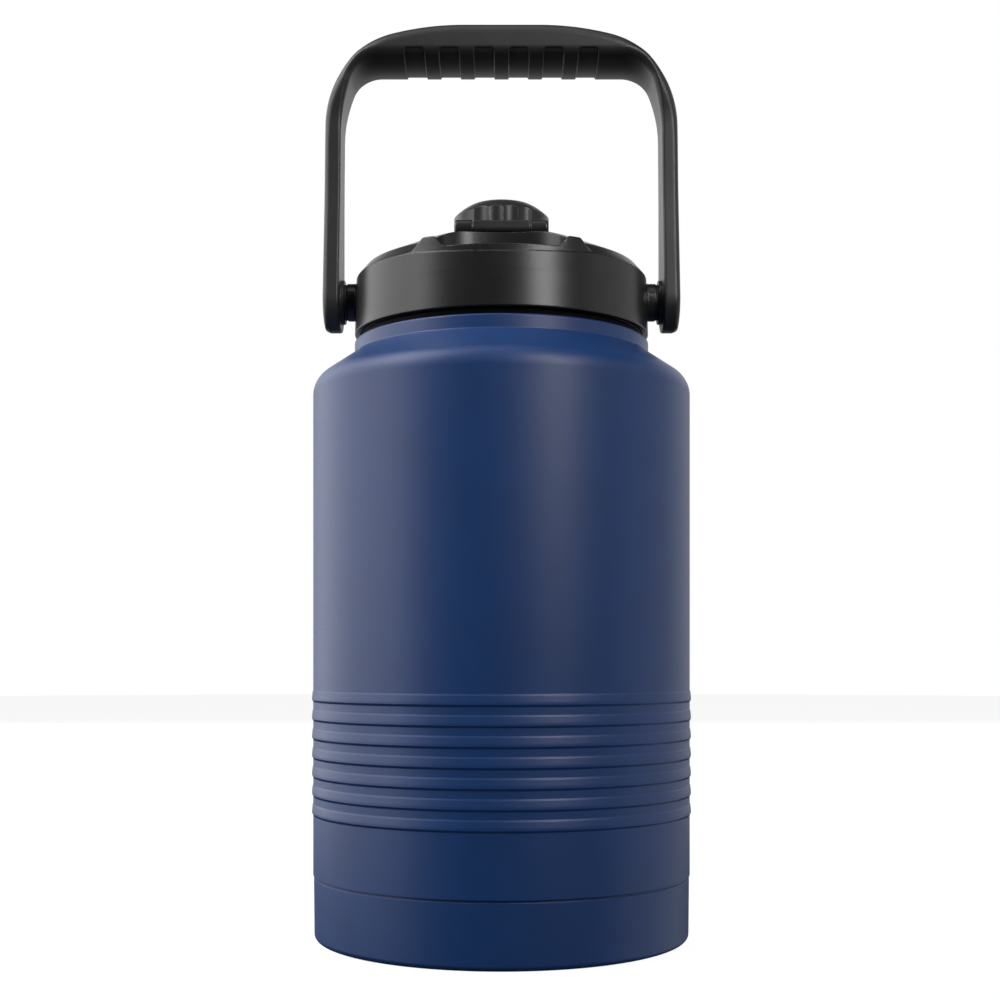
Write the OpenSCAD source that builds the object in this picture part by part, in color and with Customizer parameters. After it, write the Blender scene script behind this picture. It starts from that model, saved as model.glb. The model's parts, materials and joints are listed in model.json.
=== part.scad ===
// One-gallon insulated jug: a double-walled steel body, a screw-in lid with a bail handle,
// and a small spout cap on a hinged tether that flips over into a pocket in the lid.
// Frame: origin at the centre of the base on the ground, +Z up, the lid's pocket faces -Y.

/* [Body] */
// Outer diameter of the body wall
body_d = 155.7; // [155.4:0.1:156.6]
// Height of the seam between the body shell and the base cup
seam_z = 25.9; // [22:0.1:30]
// How far the base cup's wall stands in from the body wall
base_inset = 0.3; // [0.2:0.05:0.5]
// Number of grip ribs round the body
rib_count = 7; // [3:1:8]
// Distance from one grip rib to the next
rib_pitch = 7.7; // [6.5:0.1:9]
// Height of the lowest grip rib
lowest_rib_z = 53.5; // [45:0.5:60]
// How far a grip rib stands out of the wall
rib_height = 0.5; // [0.3:0.05:0.7]
// Height at which the wall starts to round over into the shoulder
wall_top_z = 223; // [217:0.1:223.5]
// Radius of the rounded shoulder edge
shoulder_round = 10; // [9:0.5:12]
// Slope of the shoulder cone below the horizontal, in degrees
shoulder_slope = 34.3; // [33:0.1:35]
// Outer diameter of the neck
neck_d = 121.6; // [120.4:0.2:122]
// Height of the neck's top rim
neck_top_z = 245.5; // [245:0.1:245.6]
// Thickness of the steel sheet
sheet_t = 0.8; // [0.6:0.05:0.9]
// Width of the vacuum space between the two walls
vacuum_gap = 3; // [2.5:0.1:4]

/* [Mouth] */
// Inside diameter of the mouth
mouth_d = 110.8; // [110.4:0.1:111]
// Distance between neighbouring thread ridges
thread_pitch = 4; // [4:0.1:4.4]
// Number of thread starts
thread_starts = 3; // [2:1:3]
// Angle that each thread ridge runs round, in degrees
thread_arc = 200; // [120:10:200]

/* [Lid] */
// Diameter of the lid's skirt at its lower edge
lid_d = 121.6; // [121:0.1:122]
// Height of the skirt's lower edge
lid_bottom_z = 248.2; // [248.2:0.1:248.5]
// Height of the skirt's top edge
skirt_top_z = 271.1; // [270.6:0.1:271.3]
// Height of the flat middle of the lid
dome_top_z = 285.1; // [285:0.1:285.2]
// Radius at the rim of the pocket that the flipped cap rests in
pocket_r = 26.5; // [25.5:0.1:27]
// Height of the pocket's floor
pocket_floor_z = 272.1; // [271.6:0.1:272.2]

/* [Spout and cap] */
// Bore diameter of the spout
spout_bore_d = 23; // [20:0.5:24]
// Height of the spout's lip
spout_top_z = 296.5; // [296:0.1:296.5]
// Outer diameter of the spout cap
cap_d = 39.4; // [39.2:0.1:39.8]
// Height of the middle of the cap's top
cap_top_z = 302.5; // [302.4:0.1:302.6]
// Number of grip flutes in each of the cap's two groups
group_flutes = 4; // [2:1:4]
// Distance of the cap's hinge axis in front of the spout's centre
hinge_y = 23.6; // [23.5:0.1:23.8]
// Height of the cap's hinge axis
hinge_z = 287.7; // [287.7:0.05:287.9]

/* [Handle] */
// Height of the handle's pivot axis
pivot_z = 263.1; // [262.6:0.1:263.4]
// Height of the top of the handle
handle_top_z = 373.8; // [370:0.1:380]
// Thickness of the grip from its top to its underside
grip_t = 13.5; // [12.5:0.1:14]
// Depth of the grip from front to back
grip_depth = 32.8; // [28:0.2:34]
// Depth of the two arms from front to back
arm_depth = 18.6; // [17:0.2:20]
// Half of the handle's width outside at the pivots
foot_outer_x = 73.3; // [73.2:0.1:74]
// Number of finger grooves under the grip
groove_count = 6; // [4:1:6]
// Distance from one finger groove to the next
groove_pitch = 14.2; // [13:0.1:14.6]

/* [Hidden] */
$fn = 96;

LEFT = -1;
RIGHT = 1;
eps = 0.01;
arc_steps = 8;

// Body
body_r = body_d / 2;
neck_r = neck_d / 2;
mouth_r = mouth_d / 2;
seam_gap = 0.4;              // half the height of the dark groove at the seam
lip_height = 5;              // how far the base cup's lip reaches up inside the shell
lip_gap = 0.05;              // room round the base cup's lip
neck_lip_round = 1;          // rounding of the neck's top edge
cone_angle = 90 - shoulder_slope;
rib_half = 2.4;              // half the height of a rib's foot
rib_flat_low = 1.6;          // how far below its middle a rib's flat crest starts
rib_flat_high = 0.6;         // how far below its middle the crest ends
rib_fade_z = 1.7;            // how far above its middle a rib has faded to half its height
cup_r = body_r - base_inset;
cup_corner = 2.3;            // rounding of the base's outer corner
base_taper = 0.25;           // how much the base cup narrows towards the ground
foot_ring_r = 65;            // inner radius of the ring that the jug stands on
base_recess = 3;             // height of the recessed underside
dimple_r = 9;                // radius of the dimple round the vacuum seal
dimple_rise = 2;             // height of the dimple above the recessed underside
ring_step = 0.3;             // how far the ring's slope is shifted outwards on the inside
vent_r = 1.5;                // hole that the vacuum is drawn through
seal_head_r = 3.5;
seal_head_t = 0.6;
seal_stem_gap = 0.05;        // room round the seal in its hole
seal_rise = 0.4;             // how far the seal stands up inside
cover_gap = 0.1;             // room round the disc that covers the seal
liner_r = body_r - sheet_t - vacuum_gap;
liner_floor_z = 9.5;         // height of the liner's underside
liner_floor_round = 10;
liner_wall_top_z = 208.8;    // height where the liner starts to round over
getter_x = 28;
getter_r = 7;
getter_hole_r = 2.5;
getter_t = 2.5;

// Mouth thread: ridges in the neck and ridges on the plug that run between them
thread_lead = thread_pitch * thread_starts;
ridge_root = 2;
ridge_crest = 1.2;
ridge_start_z = 230.8;       // height of the lower end of the neck's ridges
ridge_shift = 2.25;          // how far the plug's ridges start below the neck's
neck_ridge_r = mouth_r - 1.4;
plug_r = mouth_r - 2.2;
plug_ridge_r = mouth_r - 0.8;
ridge_embed = 0.3;           // how deep a ridge is sunk into its wall
ridge_step = 6;              // degrees from one section of a ridge to the next
ridge_fade = 4;              // sections over which a ridge's end fades

// Lid
lid_r = lid_d / 2;
skirt_draft = 0.7;           // how much the skirt narrows towards its top
skirt_t = 2.5;
skirt_bevel = 0.5;
band_r = 56.2;               // radius of the narrow cone's top, above the skirt's edge
band_rise = 4.5;             // height of that narrow cone
cone_foot_r = 54.1;
cone_foot_z = 276.55;
dome_slope = 23.2;           // slope of the lid's cone in degrees
dome_round = 20;             // rounding between the cone and the flat middle
dome_round_x = 30.1;         // radius at which that rounding is centred
lid_recess_r = 21.2;         // radius of the round recess about the spout
lid_recess_z = 283.5;        // height of that recess's floor
cavity_top_z = 280;          // height of the hollow's ceiling
cavity_top_r = 36;
cavity_bevel = 4;
cavity_bevel_h = 0.6;
cavity_cone_r = 54.3;
cavity_cone_z = 273.4;
block_top_z = 276.5;         // height of the raised block beside the pocket
block_top_x = 30.3;          // half width of the block's top
block_foot_x = 35.4;         // half width of the block's foot
block_back = 30;             // distance of the block's back from the axis
block_sink = 2;              // how far the block reaches down into the skirt
pocket_wall_t = 2.2;
pocket_y = -48;              // centre of the pocket
pocket_back = 27.2;          // distance of the pocket's flat back wall from the axis
pocket_slope_h = 4.7;        // height of the pocket's sloping side, up from its floor
pocket_slope_in = 3.3;       // how much narrower the pocket is at its floor
block_step = 0.3;            // how far the block's face stands in from the skirt
plug_bottom_z = 226;
plug_t = 2;
plug_floor_t = 2.2;
plug_bevel = 1.5;
flange_r = 58;               // outer radius of the plug's flange
flange_z = 248.3;            // underside of the plug's flange
flange_t = 2;
foam_top_z = 268.5;
foam_gap = 0.3;
foam_bore_r = 15.8;
foam_notch_x = 51;           // inner end of the room that the foam leaves a trunnion
gasket_gap = 0.05;           // room over and under the gasket
gasket_in_r = plug_r + 0.6;
gasket_lip_r = mouth_r + 0.4;
gasket_lip_w = 1;            // width of the lip that presses on the neck's rim
gasket_lip_h = 0.5;
gasket_groove = 1.3;         // where the groove beside the lip is deepest, in lip widths
gasket_bevel = 0.5;
press_gap = 0.02;            // room round a part that is pressed into place

// Spout and cap
spout_bore_r = spout_bore_d / 2;
spout_r = 13.6;
spout_ridge_r = 14.7;
spout_hole_r = 14.9;         // hole in the lid that the spout's thread passes
spout_collar_r = 17.5;
spout_collar_t = 2.9;
spout_foot = 0.4;            // how far the spout stands out under the plug
spout_gap = 0.1;             // room round the spout in the plug's floor
spout_lead = 3.2;
spout_turn = 540;            // angle that the spout's thread runs round
spout_ridge_z = 288;
o_ring_r = 0.85;
o_ring_gap = 0.05;
cap_r = cap_d / 2;
cap_flange_z = 284.2;
cap_flange_r = 18.7;
cap_neck_r = 17.2;
cap_neck_bore_r = 16.2;
cap_skirt_z = 288.1;
cap_thread_z = 288.9;
cap_bore_r = 16.9;
cap_ridge_r = 15.7;
cap_ridge_turn = 400;
cap_ridge_z = 290.4;
cap_edge_z = 297.5;          // height where the cap's side meets its domed shoulder
cap_dome_r = 24;             // radius that the shoulder curves by
cap_dome_from = 43.9;        // angle of that curve at the cap's side
cap_dome_to = 63.5;          // and at the flat top
cap_skirt_bevel = 0.4;
cap_ceiling_z = 299.4;
seal_t = 2.6;
seal_r = 15.4;
seal_gap = 0.1;              // room round the cap's seal
cap_seal_gap = 0.05;         // room over it
seal_room = 0.2;             // height of the plain wall under the seal
flute_groups = 2;
flute_angle = 18;            // angle from one flute to the next
flute_r = 6;                 // radius of the hollow of one flute
flute_depth = 1.05;
flute_turn = 2;              // angle that the flutes are turned by when the cap is closed
flute_foot = 0.8;            // height of the plain rim under the flutes
ring_z = 286;                // underside of the tether's ring
ring_t = 1.7;
ring_r = 20.3;
ring_bore_r = 17.5;
ring_play = 0.3;             // room between the tether's ring and the cap
bridge_length = 7;           // length of the strap from the hinge to the ring
knuckle_half = 2.1;          // half the thickness of the hinge knuckle
knuckle_top = 2.7;           // height of the knuckle's flat top over the pin's axis
knuckle_bevel = 0.35;
knuckle_x = 11.4;            // half the knuckle's width
ear_in_x = 11.7;
ear_out_x = 18.9;
ear_r = 3.6;                 // radius of the rounded ears beside the knuckle
ear_back = 1.5;              // how far the ears' middle is behind the pin's axis
hinge_pin_r = 1.2;
hinge_clearance = 0.06;
hinge_room = 3.7;            // how far the hinge's hollow reaches below the pin
hinge_front = 0.3;           // room in front of the knuckle
hinge_back = 1;              // room behind it

// Handle
foot_r = 13;                 // radius of the rounded foot of each arm
arm_top_x = 72.6;            // half width outside, at the top of the straight arms
foot_inner_x = 66.6;         // half width inside, at the pivots
foot_chamfer = 1.6;
outer_corner_r = 37;
outer_crown_r = 120;
crown_angle = 14;          // angle that the flat crown curves through
inner_corner_r = 12.5;
inner_sweep_r = 64;
inner_sweep_angle = 20;
grip_bottom_z = handle_top_z - grip_t;
inner_corner_x = 50.4;
foot_taper = 45;             // height over the pivots at which the arms have their plain depth
widen_z = 338;               // height where the arms start to widen towards the grip
flare_drop = 6;              // how far under the grip the flare ends
flare_in = 3;                // how much narrower the handle is there
grip_lip = 1.2;              // how far up the grip reaches its full depth
groove_w = 8.3;
groove_d = 0.8;
groove_rise = 3;             // how far a groove runs up the grip's front and back
grip_edge = 3.2;             // bevel of the grip's long edges

// Pivots, measured along X from the middle
trunnion_r = 7.7;
trunnion_x = 64;             // end face of the lid's trunnion
trunnion_in_x = 54;          // inner end of the trunnion's boss
washer_t = 0.8;
washer_r = 7.3;
boss_r = 9;
boss_x = 64.9;               // inner face of the handle's boss
screw_head_x = 69.25;        // underside of the screw's head
screw_head_r = 5.8;
screw_head_t = 2.4;
screw_shank_r = 3.5;
screw_thread_r = 2.5;
screw_room = 0.05;           // room under the screw's head
screw_head_gap = 0.4;        // room round it
socket_r = 2.3;
socket_floor_t = 0.7;
insert_r = 4.2;
insert_in_x = 55;
insert_step = 0.1;           // how far an insert stands back from the trunnion's face
insert_room = 0.5;           // room behind an insert
pivot_clearance = 0.06;
pivot_cap_r = 8.1;
pivot_cap_t = 1.2;

// Points along an arc about [cx, cy], from one angle to another
function arc(cx, cy, r, from, to, steps = arc_steps) =
    [for (i = [0:steps]) let (a = from + (to - from) * i / steps) [cx + r * cos(a), cy + r * sin(a)]];

function reversed(list) = [for (i = [len(list) - 1:-1:0]) list[i]];

function mirrored_x(list) = [for (i = [len(list) - 1:-1:0]) [-list[i][0], list[i][1]]];

// Height of a cone that leaves an arc about [cx, cz] at the cone's angle, at radius r
function cone_z(r, cx, cz, arc_r) = cz + (arc_r - (r - cx) * cos(cone_angle)) / sin(cone_angle);

// One rib's outline, from its lower edge up: full just above the lower edge, fading upwards
function rib_line(r, z) = [
    [r, z - rib_half],
    [r + rib_height, z - rib_flat_low],
    [r + rib_height, z - rib_flat_high],
    [r + rib_height / 2, z + rib_fade_z],
    [r, z + rib_half]
];

// Outline of the body shell from its lower edge to the mouth, set in by the sheet's thickness or 0
function shell_line(inset) = concat(
    [[body_r - inset, seam_z + seam_gap]],
    [for (i = [0:rib_count - 1]) each rib_line(body_r - inset, lowest_rib_z + i * rib_pitch)],
    arc(body_r - shoulder_round, wall_top_z, shoulder_round - inset, 0, cone_angle),
    [[neck_r - inset, cone_z(neck_r - inset, body_r - shoulder_round, wall_top_z, shoulder_round - inset)]],
    arc(neck_r - neck_lip_round, neck_top_z - neck_lip_round, neck_lip_round - inset, 0, 90, 4),
    [[mouth_r + sheet_t, neck_top_z - inset]]
);

// Outline of the inner liner from the middle of its floor to the mouth
function liner_line(inset) = concat(
    [[0, liner_floor_z + inset]],
    arc(liner_r - liner_floor_round, liner_floor_z + liner_floor_round, liner_floor_round - inset, -90, 0),
    arc(liner_r - shoulder_round, liner_wall_top_z, shoulder_round - inset, 0, cone_angle),
    [[mouth_r + sheet_t - inset,
      cone_z(mouth_r + sheet_t - inset, liner_r - shoulder_round, liner_wall_top_z, shoulder_round - inset)]],
    [[mouth_r + sheet_t - inset, neck_top_z]]
);

// A helical ridge of trapezoid section that stands out of (or into) a round wall
module ridge(wall_r, crest_r, lead, turn, start_z) {
    steps = round(turn / ridge_step);
    side = crest_r > wall_r ? 1 : -1;
    sections = [for (i = [0:steps])
        let (a = turn * i / steps,
             z = start_z + lead * a / 360,
             full = min(1, 0.15 + min(i, steps - i) / ridge_fade),
             top_r = wall_r + (crest_r - wall_r) * full,
             foot_r = wall_r - side * ridge_embed)
        [[foot_r, z - ridge_root / 2, a], [top_r, z - ridge_crest / 2, a],
         [top_r, z + ridge_crest / 2, a], [foot_r, z + ridge_root / 2, a]]];
    points = [for (s = sections) for (p = s) [p[0] * cos(p[2]), p[0] * sin(p[2]), p[1]]];
    skin = [for (i = [0:steps - 1]) for (k = [0:3])
        let (p = i * 4 + k, q = i * 4 + (k + 1) % 4)
        each [[p, q, q + 4], [p, q + 4, p + 4]]];
    last = steps * 4;
    ends = [[0, 2, 1], [0, 3, 2], [last, last + 1, last + 2], [last, last + 2, last + 3]];
    faces = concat(skin, ends);
    polyhedron(points, side > 0 ? faces : [for (f = faces) reversed(f)]);
}

// Places children drawn along +Z onto a pivot axis, pointing out to one side
module on_pivot(side) {
    translate([0, 0, pivot_z])
        rotate([0, side * 90, 0])
            children();
}

// A ring or disc along +Z between two distances
module ring_between(from, to, outer_r, inner_r = 0) {
    translate([0, 0, from])
        difference() {
            cylinder(r = outer_r, h = to - from);
            if (inner_r > 0)
                translate([0, 0, -1])
                    cylinder(r = inner_r, h = to - from + 2);
        }
}

module outer_shell() {
    color([0.11, 0.18, 0.34])
        rotate_extrude()
            polygon(concat(shell_line(0), reversed(shell_line(sheet_t))));
}

module base_cup() {
    lip_r = body_r - sheet_t - lip_gap;
    dimple_z = base_recess + dimple_rise;
    under = concat(
        [[0, dimple_z], [dimple_r, dimple_z], [dimple_r, base_recess]],
        [[foot_ring_r - base_recess, base_recess], [foot_ring_r, 0]],
        arc(cup_r - base_taper - cup_corner, cup_corner, cup_corner, -90, 0, 6),
        [[cup_r, seam_z - seam_gap], [lip_r, seam_z - seam_gap], [lip_r, seam_z + lip_height]]
    );
    over = [
        [lip_r - sheet_t, seam_z + lip_height],
        [lip_r - sheet_t, cup_corner + sheet_t],
        [lip_r - sheet_t - cup_corner, sheet_t],
        [foot_ring_r + ring_step, sheet_t],
        [foot_ring_r + ring_step - base_recess, base_recess + sheet_t],
        [dimple_r + sheet_t, base_recess + sheet_t],
        [dimple_r + sheet_t, dimple_z + sheet_t],
        [0, dimple_z + sheet_t]
    ];
    color([0.11, 0.18, 0.34])
        difference() {
            rotate_extrude()
                polygon(concat(under, over));
            translate([0, 0, dimple_z - 1])
                cylinder(r = vent_r, h = sheet_t + 2);
        }
}

module inner_liner() {
    color([0.75, 0.76, 0.78])
        union() {
            rotate_extrude()
                polygon(concat(liner_line(0), reversed(liner_line(sheet_t))));
            for (i = [0:thread_starts - 1])
                rotate([0, 0, i * 360 / thread_starts])
                    ridge(mouth_r, neck_ridge_r, thread_lead, thread_arc, ridge_start_z);
        }
}

module getter() {
    color([0.5, 0.5, 0.52])
        translate([getter_x, 0, 0])
            ring_between(liner_floor_z - getter_t, liner_floor_z, getter_r, getter_hole_r);
}

module vacuum_seal() {
    seal_z = base_recess + dimple_rise;
    color([0.85, 0.75, 0.4])
        union() {
            ring_between(seal_z - seal_head_t, seal_z, seal_head_r);
            ring_between(seal_z - eps, seal_z + sheet_t + seal_rise, vent_r - seal_stem_gap);
        }
}

module seal_cover() {
    color([0.75, 0.76, 0.78])
        ring_between(base_recess, base_recess + sheet_t, dimple_r - cover_gap);
}

module lid_gasket() {
    low = neck_top_z + gasket_gap;
    high = flange_z - gasket_gap;
    color([0.12, 0.12, 0.12])
        rotate_extrude()
            polygon([
                [gasket_in_r, low + gasket_lip_h], [gasket_lip_r, low], [gasket_lip_r + gasket_lip_w, low],
                [gasket_lip_r + gasket_groove * gasket_lip_w, low + gasket_lip_h],
                [gasket_lip_r + 2 * gasket_lip_w, low], [flange_r - gasket_bevel, low],
                [flange_r, low + gasket_bevel], [flange_r, high - gasket_bevel],
                [flange_r - gasket_bevel, high], [gasket_in_r, high]
            ]);
}

// The lid's outer surface of revolution, from the skirt's lower edge to the spout hole
function lid_line() =
    let (skirt_r = lid_r - skirt_draft)
    concat(
        [[lid_r - skirt_bevel, lid_bottom_z], [lid_r, lid_bottom_z + skirt_bevel]],
        [[skirt_r, skirt_top_z - skirt_bevel], [skirt_r - skirt_bevel, skirt_top_z]],
        [[band_r, skirt_top_z + band_rise], [cone_foot_r, cone_foot_z]],
        arc(dome_round_x, dome_top_z - dome_round, dome_round, 90 - dome_slope, 90, 5),
        [[lid_recess_r, dome_top_z], [lid_recess_r, lid_recess_z], [0, lid_recess_z], [0, lid_bottom_z]]
    );

// The raised block in front, flush with the skirt, that the pocket is cut into
module lid_block() {
    intersection() {
        cylinder(r = lid_r - skirt_draft - block_step, h = block_top_z);
        translate([0, -block_back, 0])
            rotate([90, 0, 0])
                linear_extrude(height = lid_r)
                    polygon([
                        [-block_foot_x, skirt_top_z - block_sink], [block_foot_x, skirt_top_z - block_sink],
                        [block_foot_x, skirt_top_z], [block_top_x, block_top_z],
                        [-block_top_x, block_top_z], [-block_foot_x, skirt_top_z]
                    ]);
    }
}

// The hollow under the lid's skin, which leaves the pocket and the pivots their own walls
module lid_hollow() {
    ledge_z = flange_z + flange_t;
    inner_r = lid_r - skirt_draft - skirt_t;
    difference() {
        rotate_extrude()
            polygon([
                [0, lid_bottom_z - 1], [flange_r + 0.3, lid_bottom_z - 1], [flange_r + 0.3, ledge_z],
                [inner_r, ledge_z], [inner_r, skirt_top_z - skirt_t], [cavity_cone_r, cavity_cone_z],
                [cavity_top_r + cavity_bevel, cavity_top_z - cavity_bevel_h],
                [cavity_top_r, cavity_top_z], [0, cavity_top_z]
            ]);
        translate([0, pocket_y, pocket_floor_z - skirt_t])
            cylinder(r = pocket_r + pocket_wall_t, h = cavity_top_z - pocket_floor_z + skirt_t + 1);
        for (side = [LEFT, RIGHT])
            on_pivot(side)
                ring_between(trunnion_in_x, trunnion_x, trunnion_r - 0.5);
    }
}

// The round pocket, with a flat back that leaves a rim in front of the hinge
module pocket_room() {
    depth = dome_top_z - pocket_floor_z + 1;
    intersection() {
        translate([0, pocket_y, pocket_floor_z])
            union() {
                cylinder(r1 = pocket_r - pocket_slope_in, r2 = pocket_r, h = pocket_slope_h);
                translate([0, 0, pocket_slope_h - eps])
                    cylinder(r = pocket_r, h = depth - pocket_slope_h + eps);
            }
        translate([-pocket_r, pocket_y - pocket_r, pocket_floor_z])
            cube([2 * pocket_r, pocket_r - pocket_y - pocket_back, depth]);
    }
}

// The hinge pin's axis, with children drawn along +Z
module on_hinge(from_x) {
    translate([from_x, -hinge_y, hinge_z])
        rotate([0, 90, 0])
            children();
}

// One of the lid's two rounded ears, which hold the hinge pin
module hinge_ear(from_x) {
    translate([0, ear_back, 0])
        on_hinge(from_x)
            cylinder(r = ear_r, h = ear_out_x - ear_in_x);
}

module lid_shell() {
    color([0.1, 0.1, 0.11])
        difference() {
            union() {
                rotate_extrude()
                    polygon(lid_line());
                lid_block();
                for (side = [LEFT, RIGHT])
                    on_pivot(side)
                        ring_between(lid_r - 4, trunnion_x, trunnion_r);
                hinge_ear(-ear_out_x);
                hinge_ear(ear_in_x);
            }
            lid_hollow();
            pocket_room();
            translate([-ear_in_x, -hinge_y - knuckle_half - hinge_front, hinge_z - hinge_room])
                cube([2 * ear_in_x, 2 * knuckle_half + hinge_front + hinge_back, 3 * hinge_room]);
            ring_between(cavity_top_z - 5, lid_recess_z + 1, spout_hole_r);
            on_hinge(-ear_out_x - 1)
                cylinder(r = hinge_pin_r + press_gap, h = 2 * ear_out_x + 2);
            for (side = [LEFT, RIGHT])
                on_pivot(side)
                    ring_between(insert_in_x - insert_room, trunnion_x + 1, insert_r + press_gap);
        }
}

module lid_plug() {
    color([0.16, 0.16, 0.17])
        union() {
            difference() {
                rotate_extrude()
                    polygon([
                        [0, plug_bottom_z], [plug_r - plug_bevel, plug_bottom_z],
                        [plug_r, plug_bottom_z + plug_bevel], [plug_r, flange_z],
                        [flange_r, flange_z], [flange_r, flange_z + flange_t],
                        [plug_r - plug_t, flange_z + flange_t],
                        [plug_r - plug_t, plug_bottom_z + plug_floor_t], [0, plug_bottom_z + plug_floor_t]
                    ]);
                ring_between(plug_bottom_z - 1, plug_bottom_z + plug_floor_t + 1, spout_r + spout_gap);
            }
            for (i = [0:thread_starts - 1])
                rotate([0, 0, i * 360 / thread_starts])
                    ridge(plug_r, plug_ridge_r, thread_lead, thread_arc, ridge_start_z - ridge_shift);
        }
}

module lid_insulation() {
    floor_z = plug_bottom_z + plug_floor_t + eps;
    color([0.93, 0.9, 0.8])
        difference() {
            ring_between(floor_z, foam_top_z, plug_r - plug_t - foam_gap, foam_bore_r);
            for (side = [LEFT, RIGHT])
                on_pivot(side)
                    ring_between(foam_notch_x, trunnion_x, trunnion_r);
        }
}

module spout() {
    collar_z = cavity_top_z - spout_gap;
    color([0.1, 0.1, 0.11])
        difference() {
            union() {
                ring_between(plug_bottom_z - spout_foot, spout_top_z, spout_r);
                ring_between(collar_z - spout_collar_t, collar_z, spout_collar_r);
                ridge(spout_r, spout_ridge_r, spout_lead, spout_turn, spout_ridge_z);
            }
            ring_between(plug_bottom_z - 2, spout_top_z + 1, spout_bore_r);
        }
}

module spout_seal() {
    color([0.6, 0.2, 0.1])
        translate([0, 0, plug_bottom_z + plug_floor_t + o_ring_gap + o_ring_r])
            rotate_extrude()
                translate([spout_r + o_ring_gap + o_ring_r, 0])
                    circle(r = o_ring_r, $fn = 24);
}

module pivot_insert(side) {
    color([0.78, 0.62, 0.25])
        on_pivot(side)
            ring_between(insert_in_x, trunnion_x - insert_step, insert_r, screw_thread_r);
}

module pivot_screw(side) {
    color([0.72, 0.73, 0.75])
        on_pivot(side)
            difference() {
                union() {
                    ring_between(insert_in_x + 1, trunnion_x + eps, screw_thread_r - press_gap);
                    ring_between(trunnion_x, screw_head_x + eps, screw_shank_r);
                    ring_between(screw_head_x, screw_head_x + screw_head_t, screw_head_r);
                }
                translate([0, 0, screw_head_x + socket_floor_t])
                    cylinder(r = socket_r, h = screw_head_t, $fn = 6);
            }
}

module pivot_washer(side) {
    color([0.12, 0.12, 0.12])
        on_pivot(side)
            ring_between(trunnion_x, trunnion_x + washer_t, washer_r, screw_shank_r + screw_room);
}

module hinge_pin() {
    color([0.72, 0.73, 0.75])
        on_hinge(-ear_out_x)
            cylinder(r = hinge_pin_r, h = 2 * ear_out_x);
}

// Half of the handle's front outline, on the +X side
function handle_outer() =
    let (crown_z = handle_top_z - outer_crown_r,
         turn = 90 - crown_angle,
         crown_x = arm_top_x - outer_corner_r - (outer_crown_r - outer_corner_r) * cos(turn),
         corner_z = crown_z + (outer_crown_r - outer_corner_r) * sin(turn))
    concat(
        [[foot_outer_x - foot_chamfer, pivot_z - foot_r], [foot_outer_x, pivot_z - foot_r + foot_chamfer],
         [foot_outer_x, pivot_z]],
        arc(arm_top_x - outer_corner_r, corner_z, outer_corner_r, 0, turn, 10),
        arc(crown_x, crown_z, outer_crown_r, turn + 2, 90, 4)
    );

function handle_inner() =
    let (corner_z = grip_bottom_z - inner_corner_r,
         sweep_x = inner_corner_x - (inner_sweep_r - inner_corner_r) * cos(inner_sweep_angle),
         sweep_z = corner_z - (inner_sweep_r - inner_corner_r) * sin(inner_sweep_angle))
    concat(
        arc(inner_corner_x, corner_z, inner_corner_r, 90, inner_sweep_angle + 7, 7),
        arc(sweep_x, sweep_z, inner_sweep_r, inner_sweep_angle, 0, 4),
        [[foot_inner_x, pivot_z], [foot_inner_x, pivot_z - foot_r]]
    );

module handle_front_outline() {
    polygon(concat(handle_outer(), mirrored_x(handle_outer()), mirrored_x(handle_inner()), handle_inner()));
}

// The handle seen from the side: round feet, straight arms, and a deep grip on top
module handle_side_outline() {
    arm = arm_depth / 2;
    grip = grip_depth / 2;
    half = [
        [foot_r, pivot_z], [arm, pivot_z + foot_taper], [arm, widen_z],
        [grip - flare_in, grip_bottom_z - flare_drop],
        [grip, grip_bottom_z + grip_lip], [grip, handle_top_z - grip_edge], [grip - grip_edge, handle_top_z]
    ];
    circle(r = foot_r);
    translate([0, -pivot_z])
        polygon(concat(half, mirrored_x(half)));
}

module finger_groove(x) {
    translate([x - groove_w / 2, -grip_depth, grip_bottom_z - 1])
        cube([groove_w, 2 * grip_depth, 1 + groove_d]);
    for (side = [LEFT, RIGHT])
        translate([x - groove_w / 2, side * grip_depth / 2 - groove_d, grip_bottom_z - 1])
            cube([groove_w, 2 * groove_d, 1 + groove_rise]);
}

module handle() {
    color([0.1, 0.1, 0.11])
        difference() {
            union() {
                intersection() {
                    translate([0, grip_depth, 0])
                        rotate([90, 0, 0])
                            linear_extrude(height = 2 * grip_depth)
                                handle_front_outline();
                    translate([-foot_outer_x - 1, 0, pivot_z])
                        rotate([90, 0, 90])
                            linear_extrude(height = 2 * foot_outer_x + 2)
                                handle_side_outline();
                }
                for (side = [LEFT, RIGHT])
                    on_pivot(side)
                        ring_between(boss_x, foot_inner_x + 1, boss_r);
            }
            for (side = [LEFT, RIGHT])
                on_pivot(side) {
                    ring_between(boss_x - 1, foot_outer_x + 1, screw_shank_r + pivot_clearance);
                    ring_between(screw_head_x - screw_room, foot_outer_x + 1, screw_head_r + screw_head_gap);
                    ring_between(foot_outer_x - pivot_cap_t, foot_outer_x + 1, pivot_cap_r + screw_room);
                }
            for (i = [0:groove_count - 1])
                finger_groove((i - (groove_count - 1) / 2) * groove_pitch);
        }
}

module pivot_cap(side) {
    color([0.1, 0.1, 0.11])
        on_pivot(side)
            ring_between(foot_outer_x - pivot_cap_t, foot_outer_x, pivot_cap_r);
}

// The hinge knuckle from the side: round below, flat on top
module knuckle_outline() {
    top_half = knuckle_half - knuckle_bevel;
    circle(r = knuckle_half);
    polygon([
        [-knuckle_half, 0], [knuckle_half, 0], [knuckle_half, knuckle_top - knuckle_bevel],
        [top_half, knuckle_top], [-top_half, knuckle_top], [-knuckle_half, knuckle_top - knuckle_bevel]
    ]);
}

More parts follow.
